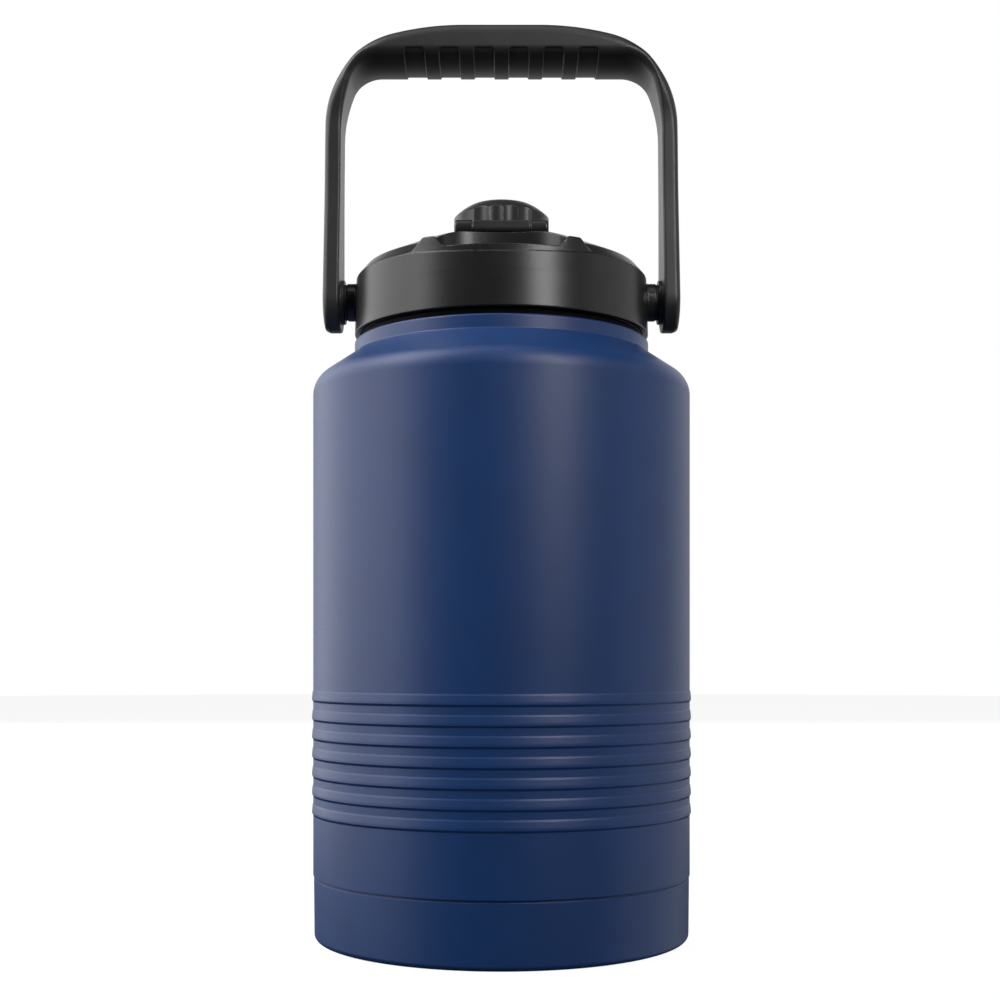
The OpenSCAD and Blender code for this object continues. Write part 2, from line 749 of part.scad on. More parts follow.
module cap_tether() {
    color([0.1, 0.1, 0.11])
        difference() {
            union() {
                ring_between(ring_z, ring_z + ring_t, ring_r);
                translate([-knuckle_x, -hinge_y, ring_z])
                    cube([2 * knuckle_x, bridge_length, ring_t]);
                translate([-knuckle_x, -hinge_y, hinge_z])
                    rotate([90, 0, 90])
                        linear_extrude(height = 2 * knuckle_x)
                            knuckle_outline();
            }
            ring_between(ring_z - 1, ring_z + ring_t + 3, ring_bore_r);
            on_hinge(-knuckle_x - 1)
                cylinder(r = hinge_pin_r + hinge_clearance, h = 2 * knuckle_x + 2);
        }
}

// The cap's domed shoulder, from its side to its flat top
function cap_shoulder() = arc(
    cap_r - cap_dome_r * cos(cap_dome_from), cap_edge_z - cap_dome_r * sin(cap_dome_from),
    cap_dome_r, cap_dome_from, cap_dome_to, 3
);

module spout_cap() {
    color([0.1, 0.1, 0.11])
        union() {
            difference() {
                rotate_extrude()
                    polygon(concat(
                        [[0, cap_flange_z], [cap_flange_r, cap_flange_z], [cap_flange_r, ring_z - ring_play],
                         [cap_neck_r, ring_z - ring_play], [cap_neck_r, cap_skirt_z],
                         [cap_r - cap_skirt_bevel, cap_skirt_z], [cap_r, cap_skirt_z + cap_skirt_bevel]],
                        cap_shoulder(),
                        [[0, cap_top_z]]
                    ));
                ring_between(cap_flange_z - 1, cap_thread_z, cap_neck_bore_r);
                ring_between(cap_thread_z - eps, cap_ceiling_z - seal_t - seal_room, cap_bore_r);
                ring_between(cap_thread_z, cap_ceiling_z, seal_r + seal_gap);
                for (group = [0:flute_groups - 1], i = [0:group_flutes - 1])
                    rotate([0, 0, -90 + group * 360 / flute_groups
                                  + (i - (group_flutes - 1) / 2) * flute_angle + flute_turn])
                        translate([cap_r - flute_depth + flute_r, 0, cap_skirt_z + flute_foot])
                            cylinder(r = flute_r, h = cap_top_z - cap_skirt_z);
            }
            ridge(cap_bore_r, cap_ridge_r, spout_lead, cap_ridge_turn, cap_ridge_z);
        }
}

module cap_seal() {
    color([0.85, 0.85, 0.83])
        ring_between(cap_ceiling_z - seal_t, cap_ceiling_z - cap_seal_gap, seal_r);
}

outer_shell();
base_cup();
inner_liner();
getter();
vacuum_seal();
seal_cover();
lid_gasket();
lid_shell();
lid_plug();
lid_insulation();
spout();
spout_seal();
pivot_insert(LEFT);  // pivot_insert_left
pivot_insert(RIGHT);  // pivot_insert_right
pivot_screw(LEFT);  // pivot_screw_left
pivot_screw(RIGHT);  // pivot_screw_right
pivot_washer(LEFT);  // pivot_washer_left
pivot_washer(RIGHT);  // pivot_washer_right
hinge_pin();
handle();
pivot_cap(LEFT);  // pivot_cap_left
pivot_cap(RIGHT);  // pivot_cap_right
cap_tether();
spout_cap();
cap_seal();
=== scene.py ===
"""The looks of the one-gallon insulated jug: a powder-coated steel body, a moulded black lid with a
bail handle, and a domed spout cap with finger flutes on a hinged tether.

Outlines and fields are in millimetres, in the CAD frame: +Z up, the lid's pocket and the camera
towards -Y. Turned pieces are lathed from an outline. Moulded pieces are carved: a field that is below
zero inside the piece is meshed, and its points and normals are then settled on the true surface.
"""

import json
import math

import bpy
import mathutils
import numpy as np
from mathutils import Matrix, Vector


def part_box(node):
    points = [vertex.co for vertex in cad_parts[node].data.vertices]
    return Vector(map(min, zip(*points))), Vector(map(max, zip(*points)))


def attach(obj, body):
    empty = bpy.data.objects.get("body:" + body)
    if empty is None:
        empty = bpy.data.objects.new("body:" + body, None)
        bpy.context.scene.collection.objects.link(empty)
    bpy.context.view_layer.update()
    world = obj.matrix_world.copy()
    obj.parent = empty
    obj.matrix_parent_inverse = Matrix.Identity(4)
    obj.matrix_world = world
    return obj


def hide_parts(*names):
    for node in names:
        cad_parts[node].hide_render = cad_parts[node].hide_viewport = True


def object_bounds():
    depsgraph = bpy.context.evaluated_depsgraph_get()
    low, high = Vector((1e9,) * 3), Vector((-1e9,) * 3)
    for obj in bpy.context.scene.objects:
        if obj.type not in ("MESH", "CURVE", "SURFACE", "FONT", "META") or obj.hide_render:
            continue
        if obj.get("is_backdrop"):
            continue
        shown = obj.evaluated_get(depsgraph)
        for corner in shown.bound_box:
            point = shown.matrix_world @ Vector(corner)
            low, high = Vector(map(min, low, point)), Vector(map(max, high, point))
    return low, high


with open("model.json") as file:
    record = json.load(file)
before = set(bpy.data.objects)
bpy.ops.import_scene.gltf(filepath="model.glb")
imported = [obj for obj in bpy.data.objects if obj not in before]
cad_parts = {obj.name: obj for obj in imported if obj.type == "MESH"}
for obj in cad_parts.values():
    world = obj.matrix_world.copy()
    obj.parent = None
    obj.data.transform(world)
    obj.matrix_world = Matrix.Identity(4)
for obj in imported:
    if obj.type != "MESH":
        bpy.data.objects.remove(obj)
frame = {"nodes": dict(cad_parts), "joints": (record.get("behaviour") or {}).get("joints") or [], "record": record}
cad_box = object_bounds()
nodes = frame["nodes"]
joints = {joint["name"]: joint for joint in frame["joints"]}

MM = 0.001


# ---------------------------------------------------------------------------------------------
# Camera


def make_camera():
    """The camera stands 0.64 m in front of the axis, level, and is shifted up to frame the jug."""
    data = bpy.data.cameras.new("camera")
    data.lens = 55.1
    data.sensor_width = 36
    data.shift_x = -0.0015
    data.shift_y = 0.15525
    camera = bpy.data.objects.new("camera", data)
    camera.location = (0, -0.6376, 0.1163)
    camera.rotation_euler = (math.radians(90), 0, 0)
    bpy.context.scene.collection.objects.link(camera)
    bpy.context.scene.camera = camera


make_camera()


# ---------------------------------------------------------------------------------------------
# Sizes in millimetres, from the frame where it holds them


def span(node):
    """The lowest and highest corner of a CAD node in millimetres."""
    low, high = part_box(node)
    return low / MM, high / MM


SHELL_LOW, SHELL_HIGH = span("outer_shell")
CUP_TOP_Z = span("base_cup")[1].z
GASKET_LOW, GASKET_HIGH = span("lid_gasket")
LID_LOW, LID_HIGH = span("lid_shell")
PLUG_LOW, PLUG_HIGH = span("lid_plug")
SPOUT_LOW, SPOUT_HIGH = span("spout")
HANDLE_LOW, HANDLE_HIGH = span("handle")
CAP_LOW, CAP_HIGH = span("spout_cap")
TETHER_LOW, TETHER_HIGH = span("cap_tether")
PIVOT_Z = joints["handle_swing"]["pos_m"][2] / MM
HINGE_Y = joints["cap_flip"]["pos_m"][1] / MM
HINGE_Z = joints["cap_flip"]["pos_m"][2] / MM

# Field outlines run on past the axis, or past the handle's middle, so that neither is an edge
PAST_AXIS = -8
PAST_MIDDLE = -30

# Body
RIB_HEIGHT = 0.5
RIB_COUNT = 7
RIB_PITCH = 7.7
RIB_LOWEST_Z = 53.5
RIB_REACH = 2.4
BODY_R = SHELL_HIGH.x - RIB_HEIGHT
SHEET = 0.8
WALL_TOP_Z = 223
SHOULDER_R = 10
SHOULDER_SLOPE = math.radians(34.3)
NECK_R = 60.8
MOUTH_R = 55.4
CUP_R = BODY_R - 0.3
SEAM_GAP = 0.8
LIP_R = BODY_R - SHEET - 0.05
CUP_TAPER = 0.25
FOOT_RING_R = 65
RECESS_RISE = 3
DIMPLE_R = 9
DIMPLE_RISE = 2

# Liner
LINER_R = BODY_R - SHEET - 3
LINER_FLOOR_Z = 9.5
LINER_TOP_Z = 208.8
THREAD_STARTS = 3
THREAD_LEAD = 12
THREAD_TURN = 200
THREAD_Z = 230.8
THREAD_HEIGHT = 1.4

# Plug and spout
PLUG_R = MOUTH_R - 2.2
PLUG_FLANGE_Z = 248.3
PLUG_WALL = 2
PLUG_FLOOR = 2.2
PLUG_THREAD_DROP = 2.25
SPOUT_R = 13.6
SPOUT_BORE_R = 11.5
SPOUT_COLLAR_R = 17.5
SPOUT_COLLAR_LOW = 277
SPOUT_COLLAR_HIGH = 279.9
SPOUT_THREAD_Z = 288
SPOUT_THREAD_TURN = 540
SPOUT_LEAD = 3.2

# Lid
SKIRT_R = 60.8
SKIRT_TOP_R = 60.1
SKIRT_TOP_Z = 271.1
BAND_TOP_X = 56.2
BAND_TOP_Z = SKIRT_TOP_Z + 4.5
CONE_FOOT_X = 54.1
CONE_FOOT_Z = 276.55
CONE_CLOSE_Z = 277
DOME_TOP_Z = 285.1
DOME_ROUND = 20
DOME_ROUND_X = 30.1
DOME_SLOPE = 23.2
HOLLOW_R = 57.1
HOLLOW_MOUTH_R = 58.3
HOLLOW_MOUTH_Z = 250.3
HOLLOW_SHOULDER = (54.3, 273.4)
CEILING_X = 36
CEILING_EDGE_X = 40
CEILING_Z = 280
BLOCK_LOW_Z = 262
BLOCK_BACK_Y = -30
BLOCK_TOP_Z = 276.5
BLOCK_TOP_X = 30.3
BLOCK_FOOT_X = 35.4
BLOCK_STEP = 0.3
BLOCK_SAG = 1.9
POCKET_Y = -48
POCKET_BACK = 27.2
POCKET_BACK_R = 60
POCKET_BACK_BLEND = 4
POCKET_WALL = 2.2
POCKET_FLOOR = 2.5
POCKET_R = 26.5
POCKET_FOOT_R = 23.2
POCKET_SLOPE_H = 4.7
POCKET_Z = 272.1
RECESS_R = 21.2
RECESS_Z = 283.5
SPOUT_HOLE_R = 14.9
TRUNNION_R = 7.7
TRUNNION_ROOT_X = 56
TRUNNION_WALL = 0.5
TRUNNION_CORE_X = 54
INSERT_HOLE_R = 4.22
INSERT_HOLE_X = 54.5
EAR_IN_X = 11.7
EAR_OUT_X = 18.9
EAR_R = 3.6
EAR_BACK = 1.5
EAR_FOOT_Z = 283
NOTCH_FORWARD = 0.35
NOTCH_GAP = 0.65
NOTCH_DROP = 3.7
PIN_R = 1.2
PIN_GAP = 0.02
PIN_BORE_GAP = 0.06
KNUCKLE_HALF = 2.1
KNUCKLE_TOP = 2.7
KNUCKLE_X = 11.4

# Handle
FOOT_X = HANDLE_HIGH.x
ARM_TOP_X = 72.6
FOOT_INNER_X = 66.6
FOOT_R = 13
FOOT_TAPER = 45
GRIP_TOP_Z = HANDLE_HIGH.z
GRIP_Z = GRIP_TOP_Z - 13.5
GRIP_HALF = HANDLE_HIGH.y
ARM_HALF = 9.3
ARM_END_Z = 338
BAIL_EDGE_R = 2.4
GRIP_EDGE_R = 4.8
INNER_EDGE_R = 1.0
UNDER_GRIP_ROUND = 1.8
REAR_GRIP_ROUND = 1.6
GRIP_BELLY = 0.9
GRIP_RISE = 2.2
GROOVE_COUNT = 6
GROOVE_PITCH = 14.2
GROOVE_HALF = 4.15
GROOVE_DEPTH = 0.8
GROOVE_RISE = 3
BOSS_X = 64.9
BOSS_R = 9
BOSS_BACK = 3
PIVOT_CAP_R = 8.1
PIVOT_CAP_T = 1.2
PIVOT_CAP_GAP = 0.1
SHANK_HOLE_R = 3.56
HEAD_HOLE_R = 6.2
HEAD_HOLE_X = 69.2
HOLES_FROM_X = 60
GRIP_FROM_Z = 325
GRIP_FULL_Z = 362

# Cap and tether
TETHER_MIDDLE_Z = 286.85
TETHER_HALF = 0.85
TETHER_R = 20.3
TETHER_HOLE_R = 17.5
BRIDGE_Y = -20
BRIDGE_HALF = 3.6
CAP_FLANGE_R = 18.7
CAP_FLANGE_Z = 285.7
CAP_NECK_R = 17.2
CAP_MOUTH_R = 16.2
CAP_MOUTH_Z = 288.9
CAP_BORE_R = 16.9
CAP_BORE_Z = 296.6
CAP_SEAL_R = 15.5
CAP_CEILING_Z = 299.4
CAP_R = 19.7
CAP_SKIRT_Z = 288.1
CAP_EDGE_Z = 297.5
CAP_DOME_R = 24
CAP_DOME_FROM = 43.9
CAP_DOME_TO = 63.5
FLUTE_GROUPS = 2
GROUP_FLUTES = 4
FLUTE_ANGLE = 18
FLUTE_R = 6
FLUTE_DEPTH = 1.05
FLUTE_TURN = 2
CAP_RIDGE_R = 15.7
CAP_RIDGE_MIDDLE_R = 16
CAP_RIDGE_ROOT_R = 17.5
CAP_RIDGE_HALF = 0.6
CAP_RIDGE_FLANK = 0.35
CAP_THREAD_Z = 290.4
CAP_THREAD_TURN = 400


# ---------------------------------------------------------------------------------------------
# Outlines


def arc(cu, cv, radius, start, end, step=2.0):
    """Points along an arc about (cu, cv), its angles in degrees."""
    count = max(2, math.ceil(abs(end - start) / step))
    angles = np.radians(np.linspace(start, end, count + 1))
    return [(cu + radius * math.cos(a), cv + radius * math.sin(a)) for a in angles]


def rounded(corners, step=9.0):
    """A closed outline of (u, v) or (u, v, radius) corners, those with a radius rounded off."""
    points = []
    for before, corner, after in zip(corners[-1:] + corners[:-1], corners, corners[1:] + corners[:1]):
        here = np.array(corner[:2], float)
        back = np.array(before[:2], float) - here
        on = np.array(after[:2], float) - here
        back_length, on_length = np.linalg.norm(back), np.linalg.norm(on)
        back, on = back / back_length, on / on_length
        half_turn = math.acos(max(-1.0, min(1.0, float(-back @ on)))) / 2
        if len(corner) < 3 or half_turn < 0.01:
            points.append(tuple(here))
            continue
        reach = min(corner[2] * math.tan(half_turn), 0.49 * back_length, 0.49 * on_length)
        radius = reach / math.tan(half_turn)
        middle = here + (back + on) / np.linalg.norm(back + on) * radius / math.cos(half_turn)
        first, last = here + back * reach - middle, here + on * reach - middle
        start = math.atan2(first[1], first[0])
        sweep = (math.atan2(last[1], last[0]) - start + math.pi) % (2 * math.pi) - math.pi
        count = max(2, math.ceil(abs(math.degrees(sweep)) / step))
        for i in range(count + 1):
            a = start + sweep * i / count
            points.append((middle[0] + radius * math.cos(a), middle[1] + radius * math.sin(a)))
    return points


# ---------------------------------------------------------------------------------------------
# Meshes


def add_piece(name, mesh, body, node, slot):
    """Links a mesh as a piece that rides on a body and stands for a CAD node, in its slot's material."""
    piece = bpy.data.objects.new(name, mesh)
    bpy.context.scene.collection.objects.link(piece)
    mesh.materials.append(MATERIALS[slot])
    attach(piece, body)
    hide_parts(node)


def mesh_of(name, points, faces, normals=None):
    """A smooth mesh from points in millimetres, faces of one size and a normal for each point."""
    points = np.asarray(points, float) * MM
    faces = np.asarray(faces, np.int32)
    corners = faces.shape[1]
    mesh = bpy.data.meshes.new(name)
    mesh.vertices.add(len(points))
    mesh.vertices.foreach_set("co", points.astype(np.float32).ravel())
    mesh.loops.add(faces.size)
    mesh.loops.foreach_set("vertex_index", faces.ravel())
    mesh.polygons.add(len(faces))
    mesh.polygons.foreach_set("loop_start", np.arange(0, faces.size, corners, dtype=np.int32))
    mesh.update(calc_edges=True)
    mesh.validate()
    mesh.shade_smooth()
    if normals is not None:
        mesh.normals_split_custom_set_from_vertices(normals)
    return mesh


def face_normals(points, faces):
    """A normal for each point, averaged over the faces round it by their area."""
    points = np.array(points)
    normals = np.zeros_like(points)
    for face in faces:
        for k in range(1, len(face) - 1):
            a, b, c = points[[face[0], face[k], face[k + 1]]]
            normals[list(face)] += np.cross(b - a, c - a)
    return normals / np.maximum(np.linalg.norm(normals, axis=1), 1e-9)[:, None]


def thread(wall_r, height, lead, turn, start_z, start=0.0):
    """A helical ridge on a round wall, or in a bore where its height is below zero."""
    section = [(-1, -1.1), (0, -1), (0.7, -0.74), (0.93, -0.64), (1, -0.45)]
    section += [(out, -up) for out, up in reversed(section)]
    sunk = math.copysign(0.3, height)
    steps, fade = round(turn / 4), 5
    points = []
    for i in range(steps + 1):
        angle = math.radians(start + turn * i / steps)
        full = height * min(1, 0.1 + min(i, steps - i) / fade)
        for out, up in section:
            radius = wall_r + out * (full if out > 0 else sunk)
            z = start_z + lead * turn * i / steps / 360 + up
            points.append((radius * math.cos(angle), radius * math.sin(angle), z))
    count = len(section)
    faces = [tuple(range(count)), tuple(reversed(range(steps * count, (steps + 1) * count)))]
    for i in range(steps):
        for k in range(count):
            here, on = i * count + k, i * count + (k + 1) % count
            faces.append((on, here, here + count, on + count))
    if height < 0:
        faces = [face[::-1] for face in faces]
    return points, face_normals(points, faces), faces


def lathe(name, outline, segments=256, threads=()):
    """Turns a closed outline of (radius, height) points about the Z axis and adds threads to it. The
    outline has to run clear of the axis or end in points on it, and its normals are weighted by its
    edges' lengths."""
    line = np.array(outline, float)
    area = np.sum(line[:, 0] * np.roll(line[:, 1], -1) - np.roll(line[:, 0], -1) * line[:, 1])
    if area < 0:
        line = line[::-1]
    edge = np.roll(line, -1, axis=0) - line
    weighted = np.stack([edge[:, 1], -edge[:, 0]], axis=1)
    normal = weighted + np.roll(weighted, 1, axis=0)
    normal /= np.maximum(np.linalg.norm(normal, axis=1), 1e-9)[:, None]
    angle = np.linspace(0, 2 * math.pi, segments, endpoint=False)
    points, normals, first = [], [], []
    for (radius, height), (out, up) in zip(line, normal):
        first.append(len(points))
        if radius < 1e-6:
            points.append((0, 0, height))
            normals.append((0, 0, math.copysign(1, up)))
            continue
        for a in angle:
            points.append((radius * math.cos(a), radius * math.sin(a), height))
            normals.append((out * math.cos(a), out * math.sin(a), up))
    faces = []
    for i in range(len(line)):
        k = (i + 1) % len(line)
        on_axis, next_on_axis = line[i][0] < 1e-6, line[k][0] < 1e-6
        if on_axis and next_on_axis:
            continue
        for j in range(segments):
            n = (j + 1) % segments
            if on_axis:
                faces.append((first[i], first[k] + n, first[k] + j))
            elif next_on_axis:
                faces.append((first[i] + j, first[i] + n, first[k]))
            else:
                faces.append((first[i] + j, first[i] + n, first[k] + n, first[k] + j))
    for thread_points, thread_normals, thread_faces in threads:
        faces.extend(tuple(len(points) + corner for corner in face) for face in thread_faces)
        points.extend(thread_points)
        normals.extend(tuple(n) for n in thread_normals)
    mesh = bpy.data.meshes.new(name)
    mesh.from_pydata([(x * MM, y * MM, z * MM) for x, y, z in points], [], faces)
    mesh.validate()
    mesh.shade_smooth()
    mesh.normals_split_custom_set_from_vertices(normals)
    return mesh


# ---------------------------------------------------------------------------------------------
# Fields: functions of x, y and z that are below zero inside a shape


def clip(a, b, radius):
    """Inside both, with the edge between them rounded."""
    return np.minimum(-radius, np.maximum(a, b)) + np.hypot(
        np.maximum(a + radius, 0), np.maximum(b + radius, 0)
    )


def join(a, b, radius):
    """Inside either, with the corner between them filled."""
    return -clip(-a, -b, radius)


def cut(a, b, radius):
    """Inside a and outside b, with the edge rounded."""
    return clip(a, -b, radius)


def outline_field(outline):
    """The field of a closed outline, as a function of its two coordinates."""
    line = np.array(outline, float)
    pairs = list(zip(line, np.roll(line, -1, axis=0)))

    def field(u, v):
        nearest = np.full(np.shape(u), 1e12)
        inside = np.zeros(np.shape(u), bool)
        for (au, av), (bu, bv) in pairs:
            eu, ev = bu - au, bv - av
            wu, wv = u - au, v - av
            along = np.clip((wu * eu + wv * ev) / (eu * eu + ev * ev), 0, 1)
            nearest = np.minimum(nearest, (wu - eu * along) ** 2 + (wv - ev * along) ** 2)
            if ev != 0:
                inside ^= ((av > v) != (bv > v)) & (wu < eu * wv / ev)
        distance = np.sqrt(nearest)
        return np.where(inside, -distance, distance)

    return field


def slope(field, points, reach):
    """The field's unit normal and its steepness at each point."""
    x, y, z = points.T
    grad = np.stack(
        [
            field(x + reach, y, z) - field(x - reach, y, z),
            field(x, y + reach, z) - field(x, y - reach, z),
            field(x, y, z + reach) - field(x, y, z - reach),
        ],
        axis=1,
    ) / (2 * reach)
    steep = np.maximum(np.linalg.norm(grad, axis=1), 1e-3)
    return grad / steep[:, None], steep


def settled(field, points, step):
    """Moves points onto the field's surface."""
    for _ in range(3):
        normal, steep = slope(field, points, 0.04)
        move = np.clip(field(*points.T) / steep, -step, step)
        points = points - normal * move[:, None]
    return points


def sampled(field, low, high, step):
    """The field on a grid over a box, worked out in full only near its surface."""
    skip = 4
    counts = np.ceil((high - low) / (step * skip)).astype(int) * skip + 1
    axes = [low[k] + step * np.arange(counts[k]) for k in range(3)]
    coarse = field(*np.meshgrid(*[a[::skip] for a in axes], indexing="ij"))
    nearest = [np.round(np.arange(n) / skip).astype(int) for n in counts]
    values = coarse[np.ix_(*nearest)]
    near = np.nonzero(np.abs(values) < 1.3 * skip * step)
    values[near] = field(*[a[i] for a, i in zip(axes, near)])
    return values


def surface_net(values, low, step):
    """Points and quads where the values change sign, with one point in each crossed cell."""
    cells = np.array(values.shape) - 1
    owners, crossings, quads = [], [], []
    for axis in range(3):
        u, v = (axis + 1) % 3, (axis + 2) % 3
        before = np.moveaxis(values, axis, 0)[:-1]
        after = np.moveaxis(values, axis, 0)[1:]
        found = np.nonzero((before < 0) != (after < 0))
        start, end = before[found], after[found]
        order = [axis] + [k for k in range(3) if k != axis]
        at = np.empty((len(start), 3), int)
        for k, index in zip(order, found):
            at[:, k] = index
        place = at.astype(float)
        place[:, axis] += start / (start - end)
        ring = []
        for du, dv in ((0, 0), (1, 0), (1, 1), (0, 1)):
            cell = at.copy()
            cell[:, u] -= du
            cell[:, v] -= dv
            ring.append(np.ravel_multi_index(cell.T, cells))
        ring = np.stack(ring, axis=1)
        outwards = start < 0
        quads.append(np.where(outwards[:, None], ring, ring[:, ::-1]))
        owners.append(ring.ravel())
        crossings.append(np.repeat(place, 4, axis=0))
    owners = np.concatenate(owners)
    crossings = np.concatenate(crossings)
    quads = np.concatenate(quads)
    used, index = np.unique(owners, return_inverse=True)
    counts = np.bincount(index)
    points = np.stack([np.bincount(index, crossings[:, k]) / counts for k in range(3)], axis=1)
    return low + points * step, np.searchsorted(used, quads)


def thinned(mesh, faces):
    """A copy of a mesh with about that many triangles, fewest where it is flattest."""
    holder = bpy.data.objects.new("holder", mesh)
    bpy.context.scene.collection.objects.link(holder)
    thin = holder.modifiers.new("thin", "DECIMATE")
    thin.ratio = min(1.0, faces / (2 * len(mesh.polygons)))
    thin.use_collapse_triangulate = True
    evaluated = holder.evaluated_get(bpy.context.evaluated_depsgraph_get())
    thinner = bpy.data.meshes.new_from_object(evaluated)
    bpy.data.objects.remove(holder)
    return thinner


def carve(name, field, low, high, step, faces):
    """Meshes a field over a box and thins the result to about that many triangles."""
    low, high = np.array(low, float) - 2 * step, np.array(high, float) + 2 * step
    points, quads = surface_net(sampled(field, low, high, step), low, step)
    points = settled(field, points, step)
    thin = thinned(mesh_of(name + "_full", points, quads), faces)
    points = np.empty(len(thin.vertices) * 3)
    thin.vertices.foreach_get("co", points)
    points = settled(field, points.reshape(-1, 3) / MM, step)
    thin.calc_loop_triangles()
    corners = np.empty(len(thin.loop_triangles) * 3, np.int32)
    thin.loop_triangles.foreach_get("vertices", corners)
    normals, _ = slope(field, points, 0.12)
    return mesh_of(name, points, corners.reshape(-1, 3), normals)


# ---------------------------------------------------------------------------------------------
# Materials


def start_material(name):
    """A new material's nodes, its links and its Principled shader."""
    material = bpy.data.materials.new(name)
    material.use_nodes = True
    tree = material.node_tree
    shader = tree.nodes["Principled BSDF"]
    return material, tree, shader


def noise(tree, scale, detail=3.0, stretch=(1, 1, 1), rough=0.5):
    """Noise over the piece's own coordinates, which are metres in the jug's frame."""
    place = tree.nodes.new("ShaderNodeTexCoord")
    mapping = tree.nodes.new("ShaderNodeMapping")
    mapping.inputs["Scale"].default_value = stretch
    texture = tree.nodes.new("ShaderNodeTexNoise")
    texture.inputs["Scale"].default_value = scale
    texture.inputs["Detail"].default_value = detail
    texture.inputs["Roughness"].default_value = rough
    tree.links.new(place.outputs["Object"], mapping.inputs["Vector"])
    tree.links.new(mapping.outputs["Vector"], texture.inputs["Vector"])
    return texture.outputs["Fac"]


def between(tree, fac, low, high):
    """Maps a noise from its usual 0.3 to 0.7 onto low to high."""
    spread = tree.nodes.new("ShaderNodeMapRange")
    spread.inputs["From Min"].default_value = 0.3
    spread.inputs["From Max"].default_value = 0.7
    spread.inputs["To Min"].default_value = low
    spread.inputs["To Max"].default_value = high
    tree.links.new(fac, spread.inputs["Value"])
    return spread.outputs["Result"]


def shades(tree, fac, dark, light):
    """Mixes two colours by a noise."""
    mix = tree.nodes.new("ShaderNodeMix")
    mix.data_type = "RGBA"
    mix.inputs["A"].default_value = (*dark, 1)
    mix.inputs["B"].default_value = (*light, 1)
    tree.links.new(between(tree, fac, 0, 1), mix.inputs["Factor"])
    return mix.outputs["Result"]


def bump(tree, shader, height, distance, under=None):
    """Bumps the shader by a height between 0 and 1, worth a distance in metres."""
    node = tree.nodes.new("ShaderNodeBump")
    node.inputs["Distance"].default_value = distance
    node.inputs["Strength"].default_value = 1.0
    tree.links.new(height, node.inputs["Height"])
    if under is not None:
        tree.links.new(under, node.inputs["Normal"])
    tree.links.new(node.outputs["Normal"], shader.inputs["Normal"])
    return node.outputs["Normal"]


def scaled(colour, factor):
    """A colour made lighter or darker."""
    return tuple(c * factor for c in colour)


def mottle(tree, shader, fac, colour, dark, light):
    """Varies the base colour by a noise, from dark times to light times the colour."""
    shade = shades(tree, fac, scaled(colour, dark), scaled(colour, light))
    tree.links.new(shade, shader.inputs["Base Color"])


def roughen(tree, shader, fac, low, high):
    """Varies the roughness by a noise."""
    tree.links.new(between(tree, fac, low, high), shader.inputs["Roughness"])


def powder_coat():
    """Navy powder coat: a satin skin with a fine grain, a slight orange peel and cloudy colour."""
    material, tree, shader = start_material("powder_coat")
    mottle(tree, shader, noise(tree, 60), (0.005, 0.0365, 0.14), 0.94, 1.06)
    roughen(tree, shader, noise(tree, 1400, 2), 0.40, 0.47)
    shader.inputs["Specular Tint"].default_value = (1, 0.93, 0.96, 1)
    peel = bump(tree, shader, noise(tree, 420, 1), 0.00002)
    bump(tree, shader, noise(tree, 2600, 2), 0.000012, peel)
    return material


def moulded_plastic(name, colour, rough, grain_scale, grain_depth):
    """Black moulded plastic with the fine spark-eroded grain of its tool."""
    material, tree, shader = start_material(name)
    mottle(tree, shader, noise(tree, 90), colour, 0.88, 1.12)
    roughen(tree, shader, noise(tree, grain_scale * 0.6, 2), rough - 0.02, rough + 0.02)
    flow = bump(tree, shader, noise(tree, 110, 1), 0.00003)
    bump(tree, shader, noise(tree, grain_scale, 3), grain_depth, flow)
    return material


def turned_steel(name, colour, rough, stretch):
    """Bare steel with fine streaks round its axis."""
    material, tree, shader = start_material(name)
    streaks = noise(tree, 40, 6, stretch, 0.7)
    mottle(tree, shader, streaks, colour, 0.88, 1.06)
    roughen(tree, shader, streaks, rough - 0.07, rough + 0.1)
    shader.inputs["Metallic"].default_value = 1.0
    bump(tree, shader, streaks, 0.00002)
    return material


def silicone(name, colour, rough, shine=0.5):
    """Moulded silicone: matte, faintly cloudy, with a fine grain."""
    material, tree, shader = start_material(name)
    mottle(tree, shader, noise(tree, 150), colour, 0.88, 1.1)
    roughen(tree, shader, noise(tree, 900, 2), rough - 0.06, rough + 0.06)
    shader.inputs["Specular IOR Level"].default_value = shine
    bump(tree, shader, noise(tree, 1800, 2), 0.00001)
    return material


def foam():
    """Closed-cell foam: pale, dry and pitted."""
    material, tree, shader = start_material("lid_foam")
    mottle(tree, shader, noise(tree, 300, 4), (0.75, 0.68, 0.48), 0.8, 1.05)
    roughen(tree, shader, noise(tree, 500), 0.82, 0.95)
    bump(tree, shader, noise(tree, 1200, 2), 0.00015)
    return material


def glassy_bead():
    """The fused sealing bead: a brown-tinted, glossy glass frit."""
    material, tree, shader = start_material("seal_bead")
    mottle(tree, shader, noise(tree, 800), (0.72, 0.62, 0.4), 0.7, 1.1)
    roughen(tree, shader, noise(tree, 700), 0.08, 0.25)
    bump(tree, shader, noise(tree, 900), 0.00005)
    return material


